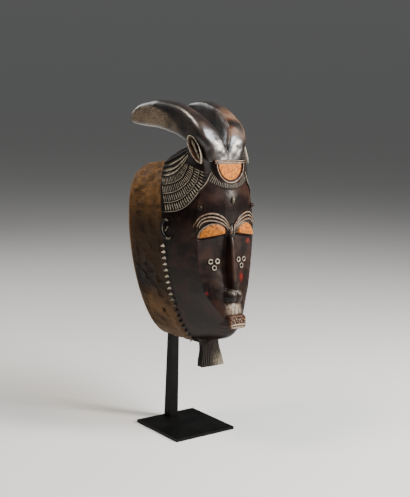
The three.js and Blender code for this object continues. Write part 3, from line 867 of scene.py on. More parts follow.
def grown(name: str, seed: Any, tree: Any, inputs: dict[str, Any]) -> Any:
    """Runs a geometry tree on a seed mesh and keeps the result as a plain mesh.

    Args:
        name: The new object's name.
        seed: Mesh that the tree starts from.
        tree: The geometry node group.
        inputs: Values of the tree's named inputs.

    Returns:
        The new object, with no modifier left on it.
    """
    source = new_object(name + "_seed", seed)
    modifier = source.modifiers.new("shape", "NODES")
    modifier.node_group = tree
    for item in tree.interface.items_tree:
        if item.item_type == "SOCKET" and item.in_out == "INPUT" and item.name in inputs:
            modifier[item.identifier] = inputs[item.name]
    source.update_tag()
    evaluated = source.evaluated_get(bpy.context.evaluated_depsgraph_get())
    mesh = bpy.data.meshes.new_from_object(evaluated)
    mesh.name = name
    source.modifiers.remove(modifier)
    bpy.data.objects.remove(source)
    shade_smooth(mesh)
    return new_object(name, mesh)


@dataclass
class Strand:
    """One path over the carving and how thick its strand is there, in millimetres."""

    path: Array
    radius: Array


def grow_strands(
    name: str, strands: Sequence[Strand], tree: Any, finish: Any, rubbed: float, width: float = 1.0,
    sides: int = 10, pigment: float = 0.0,
) -> Any:
    """A piece made of strands, with crests made paler as rubbed wood and as a painted highlight.

    Args:
        name: The object's name.
        strands: Paths and radii.
        tree: The strand tree.
        finish: Its material.
        rubbed: How far the crests are rubbed and lit by a painted highlight, from 0 to 1.
        width: Share of each radius that is used.
        sides: Sides of a strand.
        pigment: How much pigment it carries.

    Returns:
        The new object.
    """
    seed = bpy.data.meshes.new(name + "_paths")
    points = np.concatenate([s.path for s in strands])
    radii = np.concatenate([s.radius for s in strands])
    edges = []
    start = 0
    for strand in strands:
        count = len(strand.path)
        edges += [(start + i, start + i + 1) for i in range(count - 1)]
        start += count
    seed.from_pydata((points * MILLIMETRE).tolist(), edges, [])
    kept = seed.attributes.new("radius", "FLOAT", "POINT")
    kept.data.foreach_set("value", (radii * MILLIMETRE).astype(np.float32))
    piece = grown(name, seed, tree, {"Sides": sides, "Width": width, "Finish": finish})
    # Crests that face out of the block get the pale rubbed colour: rubbed wood, with a painted highlight on
    # the crests
    facing = np.sum(normals_of(piece) * BLOCK.outward(places_of(piece)), axis=1)
    mark(piece, "worn", rubbed * smoothstep(0.84, 0.98, facing))
    mark(piece, "pigment", np.full(len(facing), pigment))
    return piece


def grow_studs(
    name: str, places: Array, away: Array, along: Array, sizes: Array, tree: Any, finish: Any,
    sides: int, top: float,
) -> Any:
    """A piece made of small shapes on points.

    Args:
        name: The object's name.
        places: Middle of each shape, in millimetres.
        away: The way each one points.
        along: The way its first side runs.
        sizes: Half width along, half width across and height of each, in millimetres.
        tree: The stud tree.
        finish: Its material.
        sides: Sides of each shape.
        top: Width of its top as a share of its foot.

    Returns:
        The new object.
    """
    seed = bpy.data.meshes.new(name + "_points")
    seed.from_pydata((places * MILLIMETRE).tolist(), [], [])
    for key, values in (("away", away), ("along", along), ("size", sizes * MILLIMETRE)):
        kept = seed.attributes.new(key, "FLOAT_VECTOR", "POINT")
        kept.data.foreach_set("vector", values.astype(np.float32).ravel())
    return grown(name, seed, tree, {"Sides": sides, "Top share": top, "Finish": finish})


# The carved front


@dataclass(frozen=True)
class EyeCarving:
    """A half-moon lid under three arched brow ridges, on each side."""

    inner: float = 0.125
    outer: float = 0.637
    foot: float = 285.2
    rise: float = 15.9
    slant: float = 2.6
    relief: float = 5.2
    brow_middle: float = 25.7
    brow_half: float = 24.3
    brow_foot: float = 290.9
    brow_rise: float = 25.4
    brow_slant: float = 4.0
    brow_pitch: float = 4.7
    ridges: int = 3

    def field(self, x: Array, z: Array) -> tuple[Array, Array, Array]:
        """Height of the lids and where their pigment and rubbed line lie.

        Args:
            x: Distance from the middle.
            z: Height above the floor.

        Returns:
            Relief in millimetres, pigment and rubbing.
        """
        middle = BLOCK.out(self.inner + self.outer) / 2.0
        half = BLOCK.out(self.outer - self.inner) / 2.0
        across = (np.abs(x) - middle) / half
        foot = self.foot - self.slant * across
        r = np.hypot(across, np.clip(z - foot, 0.0, None) / self.rise)
        plate = np.power(np.clip(1.0 - np.power(np.clip(r, 0.0, 1.0), 3.4), 0.0, 1.0), 0.5)
        standing = smoothstep(-1.0, 0.1, z - foot)
        lift = (self.relief - 1.2 * across) * plate * standing
        ring = bell(r, 1.12, 0.07) * smoothstep(-0.5, 0.5, z - foot)
        slit = bell(z - foot, -1.9, 1.0) * smoothstep(1.0, 0.9, np.abs(across))
        lift = lift - 1.3 * ring - 1.6 * slit
        inside = smoothstep(0.97, 0.9, r) * smoothstep(0.1, 0.8, z - foot)
        line = bell(r, 0.985, 0.03) * smoothstep(0.0, 1.0, z - foot)
        return lift, inside, 0.9 * line

    def brow_paths(self, side: Side) -> list[Strand]:
        """The brow's ridges, closer together at their ends.

        Args:
            side: Which brow.

        Returns:
            One strand for each ridge.
        """
        turn = np.linspace(0.02, 0.985, 30) * math.pi
        strands = []
        for ridge in range(self.ridges):
            inset = (ridge + 0.45) * self.brow_pitch
            squeeze = np.where(np.cos(turn) > 0.0, 0.5, 0.18)
            x = self.brow_middle + (self.brow_half - inset * squeeze) * np.cos(turn)
            z = self.brow_foot + (self.brow_rise - inset) * np.sin(turn)
            z = z + self.brow_slant * np.cos(turn)
            path = BLOCK.on_front(side.value * x, z)
            thick = 0.6 + 1.0 * np.power(np.sin(turn), 0.7)
            path = BLOCK.raised(path, 0.2)
            path[:, 1] -= NoseCarving().field(path[:, 0], path[:, 2])[0]
            strands.append(Strand(path, thick))
        return strands


@dataclass(frozen=True)
class NoseCarving:
    """A long straight nose with a hooked tip and a round lobe on each side of it."""

    width: float = 11.0
    lobe: float = 7.0
    lobe_at: float = 0.303
    # Height share, reach in front of the face, half width of the crest and of the foot
    stations: tuple[tuple[float, float, float, float], ...] = (
        (0.272, 0.0, 0.26, 0.5),
        (0.28, 3.0, 0.3, 0.6),
        (0.3, 9.5, 0.4, 0.7),
        (0.33, 10.5, 0.4, 0.6),
        (0.38, 12.5, 0.34, 0.52),
        (0.466, 14.0, 0.3, 0.48),
        (0.56, 11.5, 0.28, 0.46),
        (0.62, 7.0, 0.28, 0.48),
        (0.66, 2.5, 0.3, 0.6),
        (0.7, 0.0, 0.4, 0.9),
    )

    def field(self, x: Array, z: Array) -> tuple[Array, Array]:
        """Height of the nose and the painted highlight on the tops of its lobes.

        Args:
            x: Distance from the middle.
            z: Height above the floor.

        Returns:
            Relief in millimetres and the painted highlight.
        """
        h = BLOCK.share_of(z)
        within = np.clip(h, self.stations[0][0], self.stations[-1][0])
        reach, crest, foot = table_curves(self.stations, within)
        a = np.abs(x)
        fall = 1.0 - smoothstep(0.0, 1.0, (a - crest * self.width) / ((foot - crest) * self.width))
        rounded = 1.1 * np.clip(a / (crest * self.width), 0.0, 1.0) ** 2
        ridge = np.maximum(reach, 0.0) * fall - rounded * fall * (reach > 1.0)
        z_lobe = BLOCK.up(self.lobe_at)
        y_lobe = BLOCK.front_y(0.0, z_lobe)
        r = self.lobe
        middle = (r * 0.7, y_lobe - 3.6, z_lobe - 1.2)
        bulb = self.ball(a, z, BLOCK.front_y(x, z), middle, (r * 1.1, r * 1.18, r * 1.38))
        ridge = ridge * (1.0 - 0.7 * smoothstep(7.0, 0.0, np.abs(z - z_lobe + 2.0)))
        lift = soft_max(ridge, bulb, 0.8)
        lift = np.where((h > 0.24) & (h < 0.71) & (a < 15.0), np.maximum(lift - 0.3, 0.0), 0.0)
        # The tops of the lobes are a little paler, as a painted highlight
        rubbed = 0.1 * smoothstep(7.0, 11.0, bulb) * smoothstep(-1.0, 4.0, z - z_lobe)
        return lift, rubbed

    @staticmethod
    def ball(x: Array, z: Array, base: Array, middle: Sequence[float], radii: Sequence[float]) -> Array:
        """How far a ball stands out of the plain front.

        Args:
            x: Distance from the middle.
            z: Height above the floor.
            base: Y of the plain front there.
            middle: The ball's middle.
            radii: Its radii.

        Returns:
            Relief in millimetres, below 0 outside the ball.
        """
        inside = 1.0 - ((x - middle[0]) / radii[0]) ** 2 - ((z - middle[2]) / radii[2]) ** 2
        out = base - middle[1] + radii[1] * np.sqrt(np.clip(inside, 0.0, None))
        return np.where(inside > 0.0, out, -4.0)


@dataclass(frozen=True)
class CapCarving:
    """The half moon over the forehead, its rims and the fringe of short locks around it."""

    top: float = 378.0
    half: float = 18.4
    drop: float = 21.0
    power: float = 2.0
    plate: tuple[float, float] = (-102.4, 0.094)
    rims: tuple[tuple[float, float], ...] = ((3.3, 0.8),)
    bars: tuple[tuple[float, float], ...] = ((1.3, 0.7), (3.7, 0.8))
    locks: int = 29
    reach_degrees: float = 80.0
    fringe_half: float = 36.0
    fringe_foot: float = 345.4
    fringe_bow: float = 12.4
    fringe_root: float = 5.2
    root_gap: float = 1.75
    bar_half: float = 24.5

    def field(self, x: Array, z: Array) -> tuple[Array, Array, Array]:
        """Height of the half moon and the fringe behind its locks.

        Args:
            x: Distance from the middle.
            z: Height above the floor.

        Returns:
            Relief in millimetres, pigment and where the matt fringe is.
        """
        below = np.clip(self.top - z, 0.0, None)
        e = np.power(np.abs(x) / self.half, self.power) + np.power(below / self.drop, self.power)
        inside = smoothstep(1.0, 0.94, e) * smoothstep(self.top + 0.6, self.top - 0.4, z)
        groove = bell(e, 1.22, 0.08) * smoothstep(self.top + 1.0, self.top - 1.0, z)
        fringe = smoothstep(-0.6, 0.6, z - self.foot_line(x)) * smoothstep(1.3, 1.5, e)
        side_line = self.top - 8.0 - 1.32 * (np.abs(x) - 25.0)
        fringe = fringe * smoothstep(1.0, -1.0, z - side_line)
        within = smoothstep(2.1, 1.3, e) * smoothstep(self.top + 7.0, self.top + 4.0, z)
        stands = within * np.clip(BLOCK.front_y(x, z) - self.plate_y(z), 0.0, None)
        return stands + 0.5 * inside - 0.9 * groove + 0.9 * fringe * (1.0 - within), inside, fringe

    def plate_y(self, z: Array) -> Array:
        """Y of the flat plate that the half moon is cut on."""
        return self.plate[0] - self.plate[1] * (self.top - z)

    def foot_line(self, x: Array) -> Array:
        """Height of the fringe's foot."""
        return self.fringe_foot + self.fringe_bow * (x / self.fringe_half) ** 2

    def point(self, turn: Array, grow: Any) -> Array:
        """Points of an arc that runs around the half moon.

        Args:
            turn: Angle from straight below.
            grow: Millimetres outside the half moon.

        Returns:
            The points.
        """
        power = 2.0 / self.power
        x = (self.half + grow) * signed_power(np.sin(turn), power)
        z = self.top - (self.drop + grow) * np.power(np.abs(np.cos(turn)), power)
        path = BLOCK.on_front(x, z)
        path[:, 1] = np.minimum(path[:, 1], self.plate_y(z) + 0.12 * np.clip(grow - 3.3, 0.0, None) ** 2)
        return path

    def rim_paths(self) -> list[Strand]:
        """The rims around the half moon and the two bars over it.

        Returns:
            One strand for each.
        """
        turn = np.linspace(-1.0, 1.0, 61) * math.pi / 2.0
        strands = []
        for grow, radius in self.rims:
            path = self.point(turn, grow)
            strands.append(Strand(BLOCK.raised(path, 0.5), np.full(len(path), radius)))
        for above, radius in self.bars:
            path = BLOCK.on_front(np.linspace(-self.bar_half, self.bar_half, 41), self.top + above)
            path[:, 1] = np.minimum(path[:, 1], self.plate[0] + 0.5)
            strands.append(Strand(path, np.full(len(path), radius)))
        return strands

    def fringe_paths(self) -> list[Strand]:
        """Short locks that fan out below the rims.

        Returns:
            One strand for each lock.
        """
        strands = []
        last = math.radians(self.reach_degrees)
        t = np.linspace(0.0, 1.0, 7)[:, None]
        for i in range(self.locks):
            share = 2.0 * (i + 0.5) / self.locks - 1.0
            root = self.point(np.array([share * last]), self.fringe_root)[0]
            foot_x = share * self.fringe_half
            foot = np.array([foot_x, 0.0, self.foot_line(np.array(foot_x)) + 0.4])
            line = root + (foot - root) * t
            path = BLOCK.on_front(line[:, 0], line[:, 2])
            gap = 2.0 * self.fringe_half / self.locks
            taper = np.array([0.75, 1.0, 1.05, 1.05, 1.05, 1.0, 0.65])
            thick = 0.5 * (self.root_gap + (gap - self.root_gap) * t[:, 0]) * taper
            strands.append(Strand(BLOCK.raised(path, 0.35), thick))
        return strands


@dataclass(frozen=True)
class HairCarving:
    """Tiers of short locks that fan round a knot behind each ear cup, and thick strands over them."""

    middle_y: float = -36.07
    middle_z: float = 385.0
    near: tuple[float, float] = (10.9, 11.5)
    grow: tuple[float, float] = (50.0, 58.0)
    square: float = 2.8
    tiers: int = 5
    locks: int = 22
    first_degrees: float = 2.0
    last_degrees: float = 82.0
    seed: int = 11
    # Control points (y, z) and the radius of each thick strand
    strands: tuple[tuple[float, tuple[tuple[float, float], ...]], ...] = (
        (2.3, ((-32.5, 361.0), (-42.0, 362.0), (-50.0, 366.0), (-57.0, 375.0), (-61.0, 388.0))),
        (2.5, ((-31.0, 366.0), (-42.0, 368.5), (-51.0, 374.0), (-57.0, 384.0), (-60.0, 391.0))),
        (2.9, ((-28.5, 371.5), (-40.0, 376.0), (-50.0, 383.0), (-56.0, 392.0))),
        (3.1, ((-25.0, 377.5), (-37.0, 384.0), (-47.0, 391.0), (-52.0, 396.0))),
    )

    def place(self, side: Side, turn: Any, v: Any) -> Array:
        """A point of the fan.

        Args:
            side: Which side of the head.
            turn: Angle from straight below the knot.
            v: Share from the innermost arc to the hairline.

        Returns:
            The point on the plain flank.
        """
        reach_y = self.near[0] + self.grow[0] * np.asarray(v, float)
        reach_z = self.near[1] + self.grow[1] * np.asarray(v, float)
        y = self.middle_y - reach_y * np.power(np.sin(turn), 2.0 / self.square)
        z = self.middle_z - reach_z * np.power(np.cos(turn), 2.0 / self.square)
        back = BLOCK.border_y(BLOCK.share_of(z)) + 1.6
        y = y + (back - self.middle_y) * np.power(np.cos(turn), 8.0)
        return BLOCK.on_flank(side, y, z)

    def cover(self, y: Array, z: Array) -> Array:
        """How far a place on the flank lies inside the hairline, as 0 to 1."""
        ry, rz = self.near[0] + self.grow[0], self.near[1] + self.grow[1]
        below = np.power(np.clip(self.middle_z - z, 0.0, None) / rz, self.square)
        ahead = np.power(np.clip(self.middle_y - y, 0.0, None) / ry, self.square)
        return smoothstep(1.06, 0.98, below + ahead)

    def turns(self, side: Side) -> Array:
        """Angles of the locks, evenly spread along an arc in the middle of the fan."""
        dense = np.radians(np.linspace(self.first_degrees, self.last_degrees, 400))
        arc = self.place(side, dense, 0.6)
        length = run_of(arc)
        at = (np.arange(self.locks) + 0.5) / self.locks * length[-1]
        return np.interp(at, length, dense)

    def lock_paths(self, side: Side) -> list[Strand]:
        """The locks of every tier.

        Args:
            side: Which side of the head.

        Returns:
            One strand for each lock.
        """
        turns = self.turns(side)
        rng = np.random.default_rng(self.seed)
        strands = []
        for tier in range(self.tiers):
            low, high = tier / self.tiers, (tier + 1) / self.tiers
            for i, turn in enumerate(turns):
                after = turns[min(i + 1, len(turns) - 1)]
                before = turns[max(i - 1, 0)]
                v = np.linspace(low + 0.015, high - 0.01, 6) + rng.uniform(-0.006, 0.006)
                path = self.place(side, turn + rng.uniform(-0.004, 0.004), np.clip(v, 0.0, 1.0))
                mid = (low + high) / 2.0
                gap = np.linalg.norm(self.place(side, after, mid) - self.place(side, before, mid))
                radius = 0.3 * gap / max(1, min(i + 1, len(turns) - 1) - max(i - 1, 0))
                thick = radius * np.array([0.6, 0.85, 1.0, 1.05, 1.0, 0.7]) * rng.uniform(0.9, 1.08)
                strands.append(Strand(BLOCK.raised(path, 0.55), thick))
        return strands

    def arc_paths(self, side: Side) -> list[Strand]:
        """The thin raised arcs between the tiers and along the hairline.

        Args:
            side: Which side of the head.

        Returns:
            One strand for each arc.
        """
        strands = []
        turn = np.radians(np.linspace(self.first_degrees, self.last_degrees, 60))
        for tier in range(1, self.tiers + 1):
            path = self.place(side, turn, tier / self.tiers)
            fine = np.full(len(path), 0.85 if tier < self.tiers else 0.95)
            strands.append(Strand(BLOCK.raised(path, 1.5), fine))
        return strands

    def strand_paths(self, side: Side) -> list[Strand]:
        """The thick strands over the fan.

        Args:
            side: Which side of the head.

        Returns:
            One strand for each.
        """
        made = []
        for radius, corners in self.strands:
            t = np.linspace(0.0, 1.0, 22)
            path = BLOCK.on_flank(side, *corner_curves(corners, t))
            thick = radius * (0.7 + 0.3 * np.sin(math.pi * np.clip(t + 0.15, 0.0, 1.0)))
            made.append(Strand(BLOCK.raised(path, 0.2), thick))
        return made


@dataclass(frozen=True)
class CarvedFront:
    """The fine skin of the face, the flanks and the crown, with the low relief cut into it."""

    eyes: EyeCarving
    nose: NoseCarving
    cap: CapCarving
    hair: HairCarving
    rows: int = 392
    half_columns: int = 103
    back_columns: int = 8
    tool_marks: float = 0.13
    # Where some red pigment is left: x, height and spread both ways
    red_places: tuple[tuple[float, float, float, float], ...] = (
        (-34.0, 210.0, 1.4, 1.8), (22.0, 228.0, 3.0, 4.8), (36.0, 275.0, 3.0, 2.8),
    )

    # Where the rows are closer: how much, the heights between which that grows, and those where it fades
    finer: tuple[tuple[float, ...], ...] = (
        (0.9, 155.0, 165.0, 205.0, 220.0),
        (1.5, 276.0, 281.0, 303.0, 312.0),
        (0.4, 345.0, 352.0, 390.0, 402.0),
    )
    # Rubbed wood with a painted highlight above the mouth: its height, half width and half height
    muzzle_rub_and_highlight: tuple[float, float, float] = (188.0, 11.5, 7.5)

    def row_heights(self) -> Array:
        """Heights of the rows, closer together where the carving is finest."""
        z = np.linspace(BLOCK.up(0.0015), BLOCK.up(BLOCK.crown), 3000)
        weight = np.ones_like(z)
        for extra, foot, grown_at, fading_at, top in self.finer:
            weight = weight + extra * smoothstep(foot, grown_at, z) * smoothstep(top, fading_at, z)
        gone = np.concatenate([[0.0], np.cumsum((weight[1:] + weight[:-1]) / 2.0)])
        return np.interp(np.linspace(0.0, gone[-1], self.rows), gone, z)

    def sections(self, z: Array) -> tuple[Array, Array]:
        """Level sections of the plain block, one side of each.

        Args:
            z: Heights of the rows.

        Returns:
            Points by row and column, and which columns are in front of the border.
        """
        h = BLOCK.share_of(z)[:, None]
        edge, half, _, _ = BLOCK.edges(h)
        a = np.linspace(0.0, 1.0, 601)[None, :]
        x = np.where(a < 0.5, edge * a * 2.0, edge + (half - edge) * (a * 2.0 - 1.0))
        y = BLOCK.front_y(x, z[:, None])
        over = np.clip(h - 1.0, 0.0, None) / (BLOCK.crown - 1.0)
        back_y = BLOCK.border_y(h) - BLOCK.dome_round * over**2
        y = np.minimum(y, back_y - 3.0 * smoothstep(0.0, 0.15, over))
        step = np.hypot(np.diff(x, axis=1), np.diff(y, axis=1))
        near_nose = bell(x[:, 1:], 5.0, 2.6)
        gone = np.cumsum(step * (1.0 + 1.6 * near_nose), axis=1)
        gone = np.concatenate([np.zeros((len(z), 1)), gone], axis=1)
        count = self.half_columns + 1
        at = np.linspace(0.0, 1.0, count)
        front = np.empty((len(z), count, 3))
        for i in range(len(z)):
            front[i, :, 0] = np.interp(at * gone[i, -1], gone[i], x[i])
            front[i, :, 1] = np.interp(at * gone[i, -1], gone[i], y[i])
        front[:, :, 2] = z[:, None]
        t = np.linspace(0.0, 1.0, self.back_columns + 1)[1:][None, :]
        inner = np.where(h >= 1.0, 0.0, np.maximum(BLOCK.border_share * BLOCK.rim_half(h) - 4.0, 0.0))
        last_x, last_y = front[:, -1:, 0], front[:, -1:, 1]
        back = np.empty((len(z), self.back_columns, 3))
        back[:, :, 0] = last_x + (inner - last_x) * t
        back[:, :, 1] = last_y + (back_y + 0.4 - last_y) * smoothstep(0.0, 0.5, t)
        back[:, :, 2] = z[:, None]
        whole = np.concatenate([front, back], axis=1)
        ahead = np.arange(whole.shape[1]) <= self.half_columns
        return whole, ahead

    def build(self, finish: Any) -> Any:
        """Makes the piece.

        Args:
            finish: Its material.

        Returns:
            The object.
        """
        z = self.row_heights()
        half, ahead = self.sections(z)
        mirror = half[:, :0:-1] * np.array([-1.0, 1.0, 1.0])
        points = np.concatenate([mirror, half], axis=1)
        front = np.concatenate([ahead[:0:-1], ahead])[None, :]
        x, y, level = points[..., 0], points[..., 1], points[..., 2]
        normals = BLOCK.outward(points)
        eye_lift, eye_pigment, eye_line = self.eyes.field(x, level)
        nose_lift, nose_lobe_highlight = self.nose.field(x, level)
        cap_lift, cap_pigment, matt = self.cap.field(x, level)
        lift = np.where(front, eye_lift * (nose_lift < 0.5) + nose_lift + cap_lift, 0.0)
        edge = np.maximum(BLOCK.edges(BLOCK.share_of(level))[0], 1.0)
        on_side = smoothstep(0.45, 0.75, np.abs(x) / edge)
        covered = self.hair.cover(y, level) * on_side * front
        tools = value_noise(points, 8.0, 3) + 0.5 * value_noise(points, 3.4, 5)
        points[..., 1] -= lift
        points += normals * (covered + self.tool_marks * tools)[..., None] * front[..., None]
        # The crown and the chin close over the last sections
        over = [shrunk(points[-1], share) for share in (0.7, 0.35, 0.0)]
        closed = np.stack([shrunk(points[0], 0.0), *points, *over])

        def padded(values: Array) -> Array:
            """A mark of the front, with none on the closing rows and behind the border."""
            whole = np.zeros(closed.shape[:2])
            whole[1 : 1 + values.shape[0]] = np.where(front, values, 0.0)
            return whole.ravel()

        # Above the mouth the wood is paler in streaks: rubbed wood and a painted highlight
        streaks = 0.5 + 0.5 * value_noise(points * np.array([1.0, 1.0, 0.15]), 1.6, 31)
        middle, half_wide, half_high = self.muzzle_rub_and_highlight
        beside = np.power(np.abs(x) / half_wide, 4.0) + np.power((level - middle) / half_high, 4.0)
        muzzle_rub_and_highlight = 0.85 * streaks * np.exp(-beside)
        fleck = sum(
            bell(x, at_x, wide) * bell(level, at_z, high) for at_x, at_z, wide, high in self.red_places
        )
        # The right lid's pigment is thinned so that it shows darker, as painted shade
        lids = eye_pigment * (0.89 + 0.11 * np.sign(x))
        marks = {
            "pigment": padded(np.maximum(lids, cap_pigment)),
            "worn": padded(np.maximum(np.maximum(0.6 * eye_line, nose_lobe_highlight), muzzle_rub_and_highlight)),
            "raw": padded(0.9 * np.maximum(matt, covered) * (1.0 - cap_pigment)),
            "fleck": padded(0.6 * fleck),
        }
        faces = grid_faces(*closed.shape[:2])
        return make_piece("carved_front", closed.reshape(-1, 3), faces, finish, marks)


# The raw shell


@dataclass(frozen=True)
class RawShell:
    """The block behind the border, left as the adze cut it, and the hollow inside it."""

    around: int = 440
    along: int = 52
    wall_steps: int = 26
    floor_steps: int = 30
    facet_mm: tuple[float, float] = (11.0, 17.0)
    facet_tilt: float = 0.15
    hollow_floor: float = -85.0
    hollow_middle: float = 262.0
    seed: int = 5
    tie_hole: tuple[float, float] = (-13.0, 177.0)
    tie_radius: float = 3.3

    def outline(self) -> tuple[Array, Array]:
        """The rim, evenly spaced, once round.

        Returns:
            Shares of the half width, with their sign, and height shares.
        """
        psi = np.linspace(0.0, math.pi / 2.0, 6000)
        low_t = np.power(np.sin(psi), 2.0 / 1.65)
        high_t = np.power(np.sin(psi), 2.0 / 3.0)
        low = np.stack([np.cos(psi), BLOCK.rim_widest * (1.0 - low_t)], axis=1)[::-1]
        high_x = np.power(np.cos(psi), 2.0 / 3.8)
        high = np.stack([high_x, BLOCK.rim_widest + (1.0 - BLOCK.rim_widest) * high_t], axis=1)
        right = np.concatenate([low, high[1:]])
        left = right[::-1] * np.array([-1.0, 1.0])
        loop = np.concatenate([right, left[1:]])
        flat = loop * np.array([BLOCK.width / 2.0, BLOCK.height])
        gone = run_of(flat)
        at = np.linspace(0.0, gone[-1], self.around + 1)[:-1]
        return np.interp(at, gone, loop[:, 0]), np.interp(at, gone, loop[:, 1])

    def facets(self, arc: Array, y: Array) -> Array:
        """Shallow flat cuts side by side, as an adze leaves them.

        Args:
            arc: Millimetres round the shell.
            y: Depth.

        Returns:
            Relief in millimetres.
        """
        best = np.full(arc.shape, 1e9)
        lift = np.zeros(arc.shape)
        wide, long = self.facet_mm
        for da in (-1, 0, 1):
            for dy in (-1, 0, 1):
                cell = np.stack([np.floor(arc / wide) + da, np.floor(y / long) + dy], axis=-1)
                jitter = np.stack([hash_noise(cell, self.seed), hash_noise(cell, self.seed + 1)], axis=-1)
                center = (cell + 0.15 + 0.7 * jitter) * np.array([wide, long])
                delta_a, delta_y = arc - center[..., 0], y - center[..., 1]
                distance = np.hypot(delta_a / wide, delta_y / long)
                tilt = hash_noise(cell, self.seed + 2) - 0.5
                offset = 0.5 * (hash_noise(cell, self.seed + 3) - 0.5)
                height = self.facet_tilt * tilt * 2.0 * delta_y + offset + 0.9 * distance**2
                nearer = distance < best
                best = np.where(nearer, distance, best)
                lift = np.where(nearer, height, lift)
        return lift

    def build(self, finish: Any) -> Any:
        """Makes the piece, from the border over the rim to the floor of the hollow.

        Args:
            finish: Its material.

        Returns:
            The object.
        """
        q, h = self.outline()
        x_rim = BLOCK.out(q)
        z = BLOCK.up(h)
        flat = np.stack([x_rim, z], axis=1)
        ahead = unit(np.roll(flat, -1, axis=0) - np.roll(flat, 1, axis=0))
        # Facing out of the outline in x and z
        out = np.stack([ahead[:, 1], -ahead[:, 0]], axis=1)
        arc = run_of(flat)
        border = BLOCK.border_y(h) + 0.5
        loops, raws, wear_and_highlight_rows = [], [], []

        def loop(x: Array, y: Array, height: Array, raw: Any, worn: Any) -> None:
            """Adds one loop of points with its marks."""
            loops.append(np.stack([x, y, height], axis=1))
            raws.append(np.broadcast_to(np.asarray(raw, float), (len(x),)))
            wear_and_highlight_rows.append(np.broadcast_to(np.asarray(worn, float), (len(x),)))

        rim = BLOCK.rim_plane
        x_border = BLOCK.border_share * x_rim
        loop(x_border - 3.0 * out[:, 0], border - 1.0, z - 3.0 * out[:, 1], 0.0, 0.0)
        for v in np.linspace(0.0, 1.0, self.along):
            y = border + (rim - 0.8 - border) * v
            x = x_border + (x_rim - x_border) * v
            cut = self.facets(arc, y) * smoothstep(0.0, 0.06, v) * smoothstep(1.0, 0.97, v) - 0.9
            stained = smoothstep(0.06, 0.02, v)
            # Paler towards the top and towards the foot: partly rubbed wood, partly painted light. The rim's
            # edge is rubbed
            rubbed = 0.85 * smoothstep(290.0, 345.0, z) + 0.3 * smoothstep(220.0, 185.0, z)
            grid = np.stack([arc / 5.0, y / 9.0, np.zeros_like(y)], axis=1)
            uneven = 0.75 + 0.6 * value_noise(grid, 1.0, 41)
            rubbed = rubbed * np.clip(uneven, 0.2, 1.0) * (1.0 - stained)
            rubbed = np.maximum(rubbed, 0.95 * smoothstep(0.95, 0.985, v))
            # The tie hole is a shallow pit, left unrubbed and in the dark stain as painted shade inside it
            off = np.hypot(y - self.tie_hole[0], z - self.tie_hole[1]) / self.tie_radius
            pit = smoothstep(1.15, 0.85, off) * (np.abs(x) > 20.0)
            cut = cut - 2.6 * pit
            rubbed = rubbed * (1.0 - pit)
            stained = np.maximum(stained, pit)
            # The middle band is darker: partly stain, partly painted shade
            mid_stain_and_shade = 0.65 * smoothstep(325.0, 285.0, z) * smoothstep(185.0, 225.0, z)
            bare = (1.0 - stained) * (1.0 - mid_stain_and_shade)
            loop(x + out[:, 0] * cut, y, z + out[:, 1] * cut, bare, rubbed)
        for inset in (1.7, BLOCK.wall - 0.9):
            loop(x_rim - out[:, 0] * inset, np.full(len(x_rim), rim), z - out[:, 1] * inset, 1.0, 0.7)
        for g in np.linspace(0.0, 1.0, self.wall_steps):
            y = rim - 0.9 + (border + 6.0 - rim) * g
            x = x_rim * (1.0 - (1.0 - BLOCK.border_share) * g)
            inset = BLOCK.wall + 3.0 * smoothstep(0.6, 1.0, g) + 0.9 * self.facets(arc + 7.0, y * 1.4)
            loop(x - out[:, 0] * inset, y, z - out[:, 1] * inset, 0.85, 0.0)
        last = loops[-1]
        middle_y = last[:, 1]
        for k in np.linspace(0.0, 1.0, self.floor_steps)[1:]:
            share = math.cos(k * math.pi / 2.0) ** 0.85
            x = last[:, 0] * share
            height = self.hollow_middle + (last[:, 2] - self.hollow_middle) * share
            y = middle_y + (self.hollow_floor - middle_y) * math.sin(k * math.pi / 2.0)
            cut = 0.7 * self.facets(x * 1.2 + 40.0, height * 0.9) * smoothstep(1.0, 0.8, k)
            loop(x, y + cut, height, 0.8, 0.0)
        points = np.stack(loops)
        faces = grid_faces(points.shape[0], points.shape[1], closed=True)[:, ::-1]
        marks = {"raw": np.stack(raws).ravel(), "worn": np.stack(wear_and_highlight_rows).ravel()}
        return make_piece("raw_shell", points.reshape(-1, 3), faces, finish, marks)


# Horns, ears, mouth, beard and border


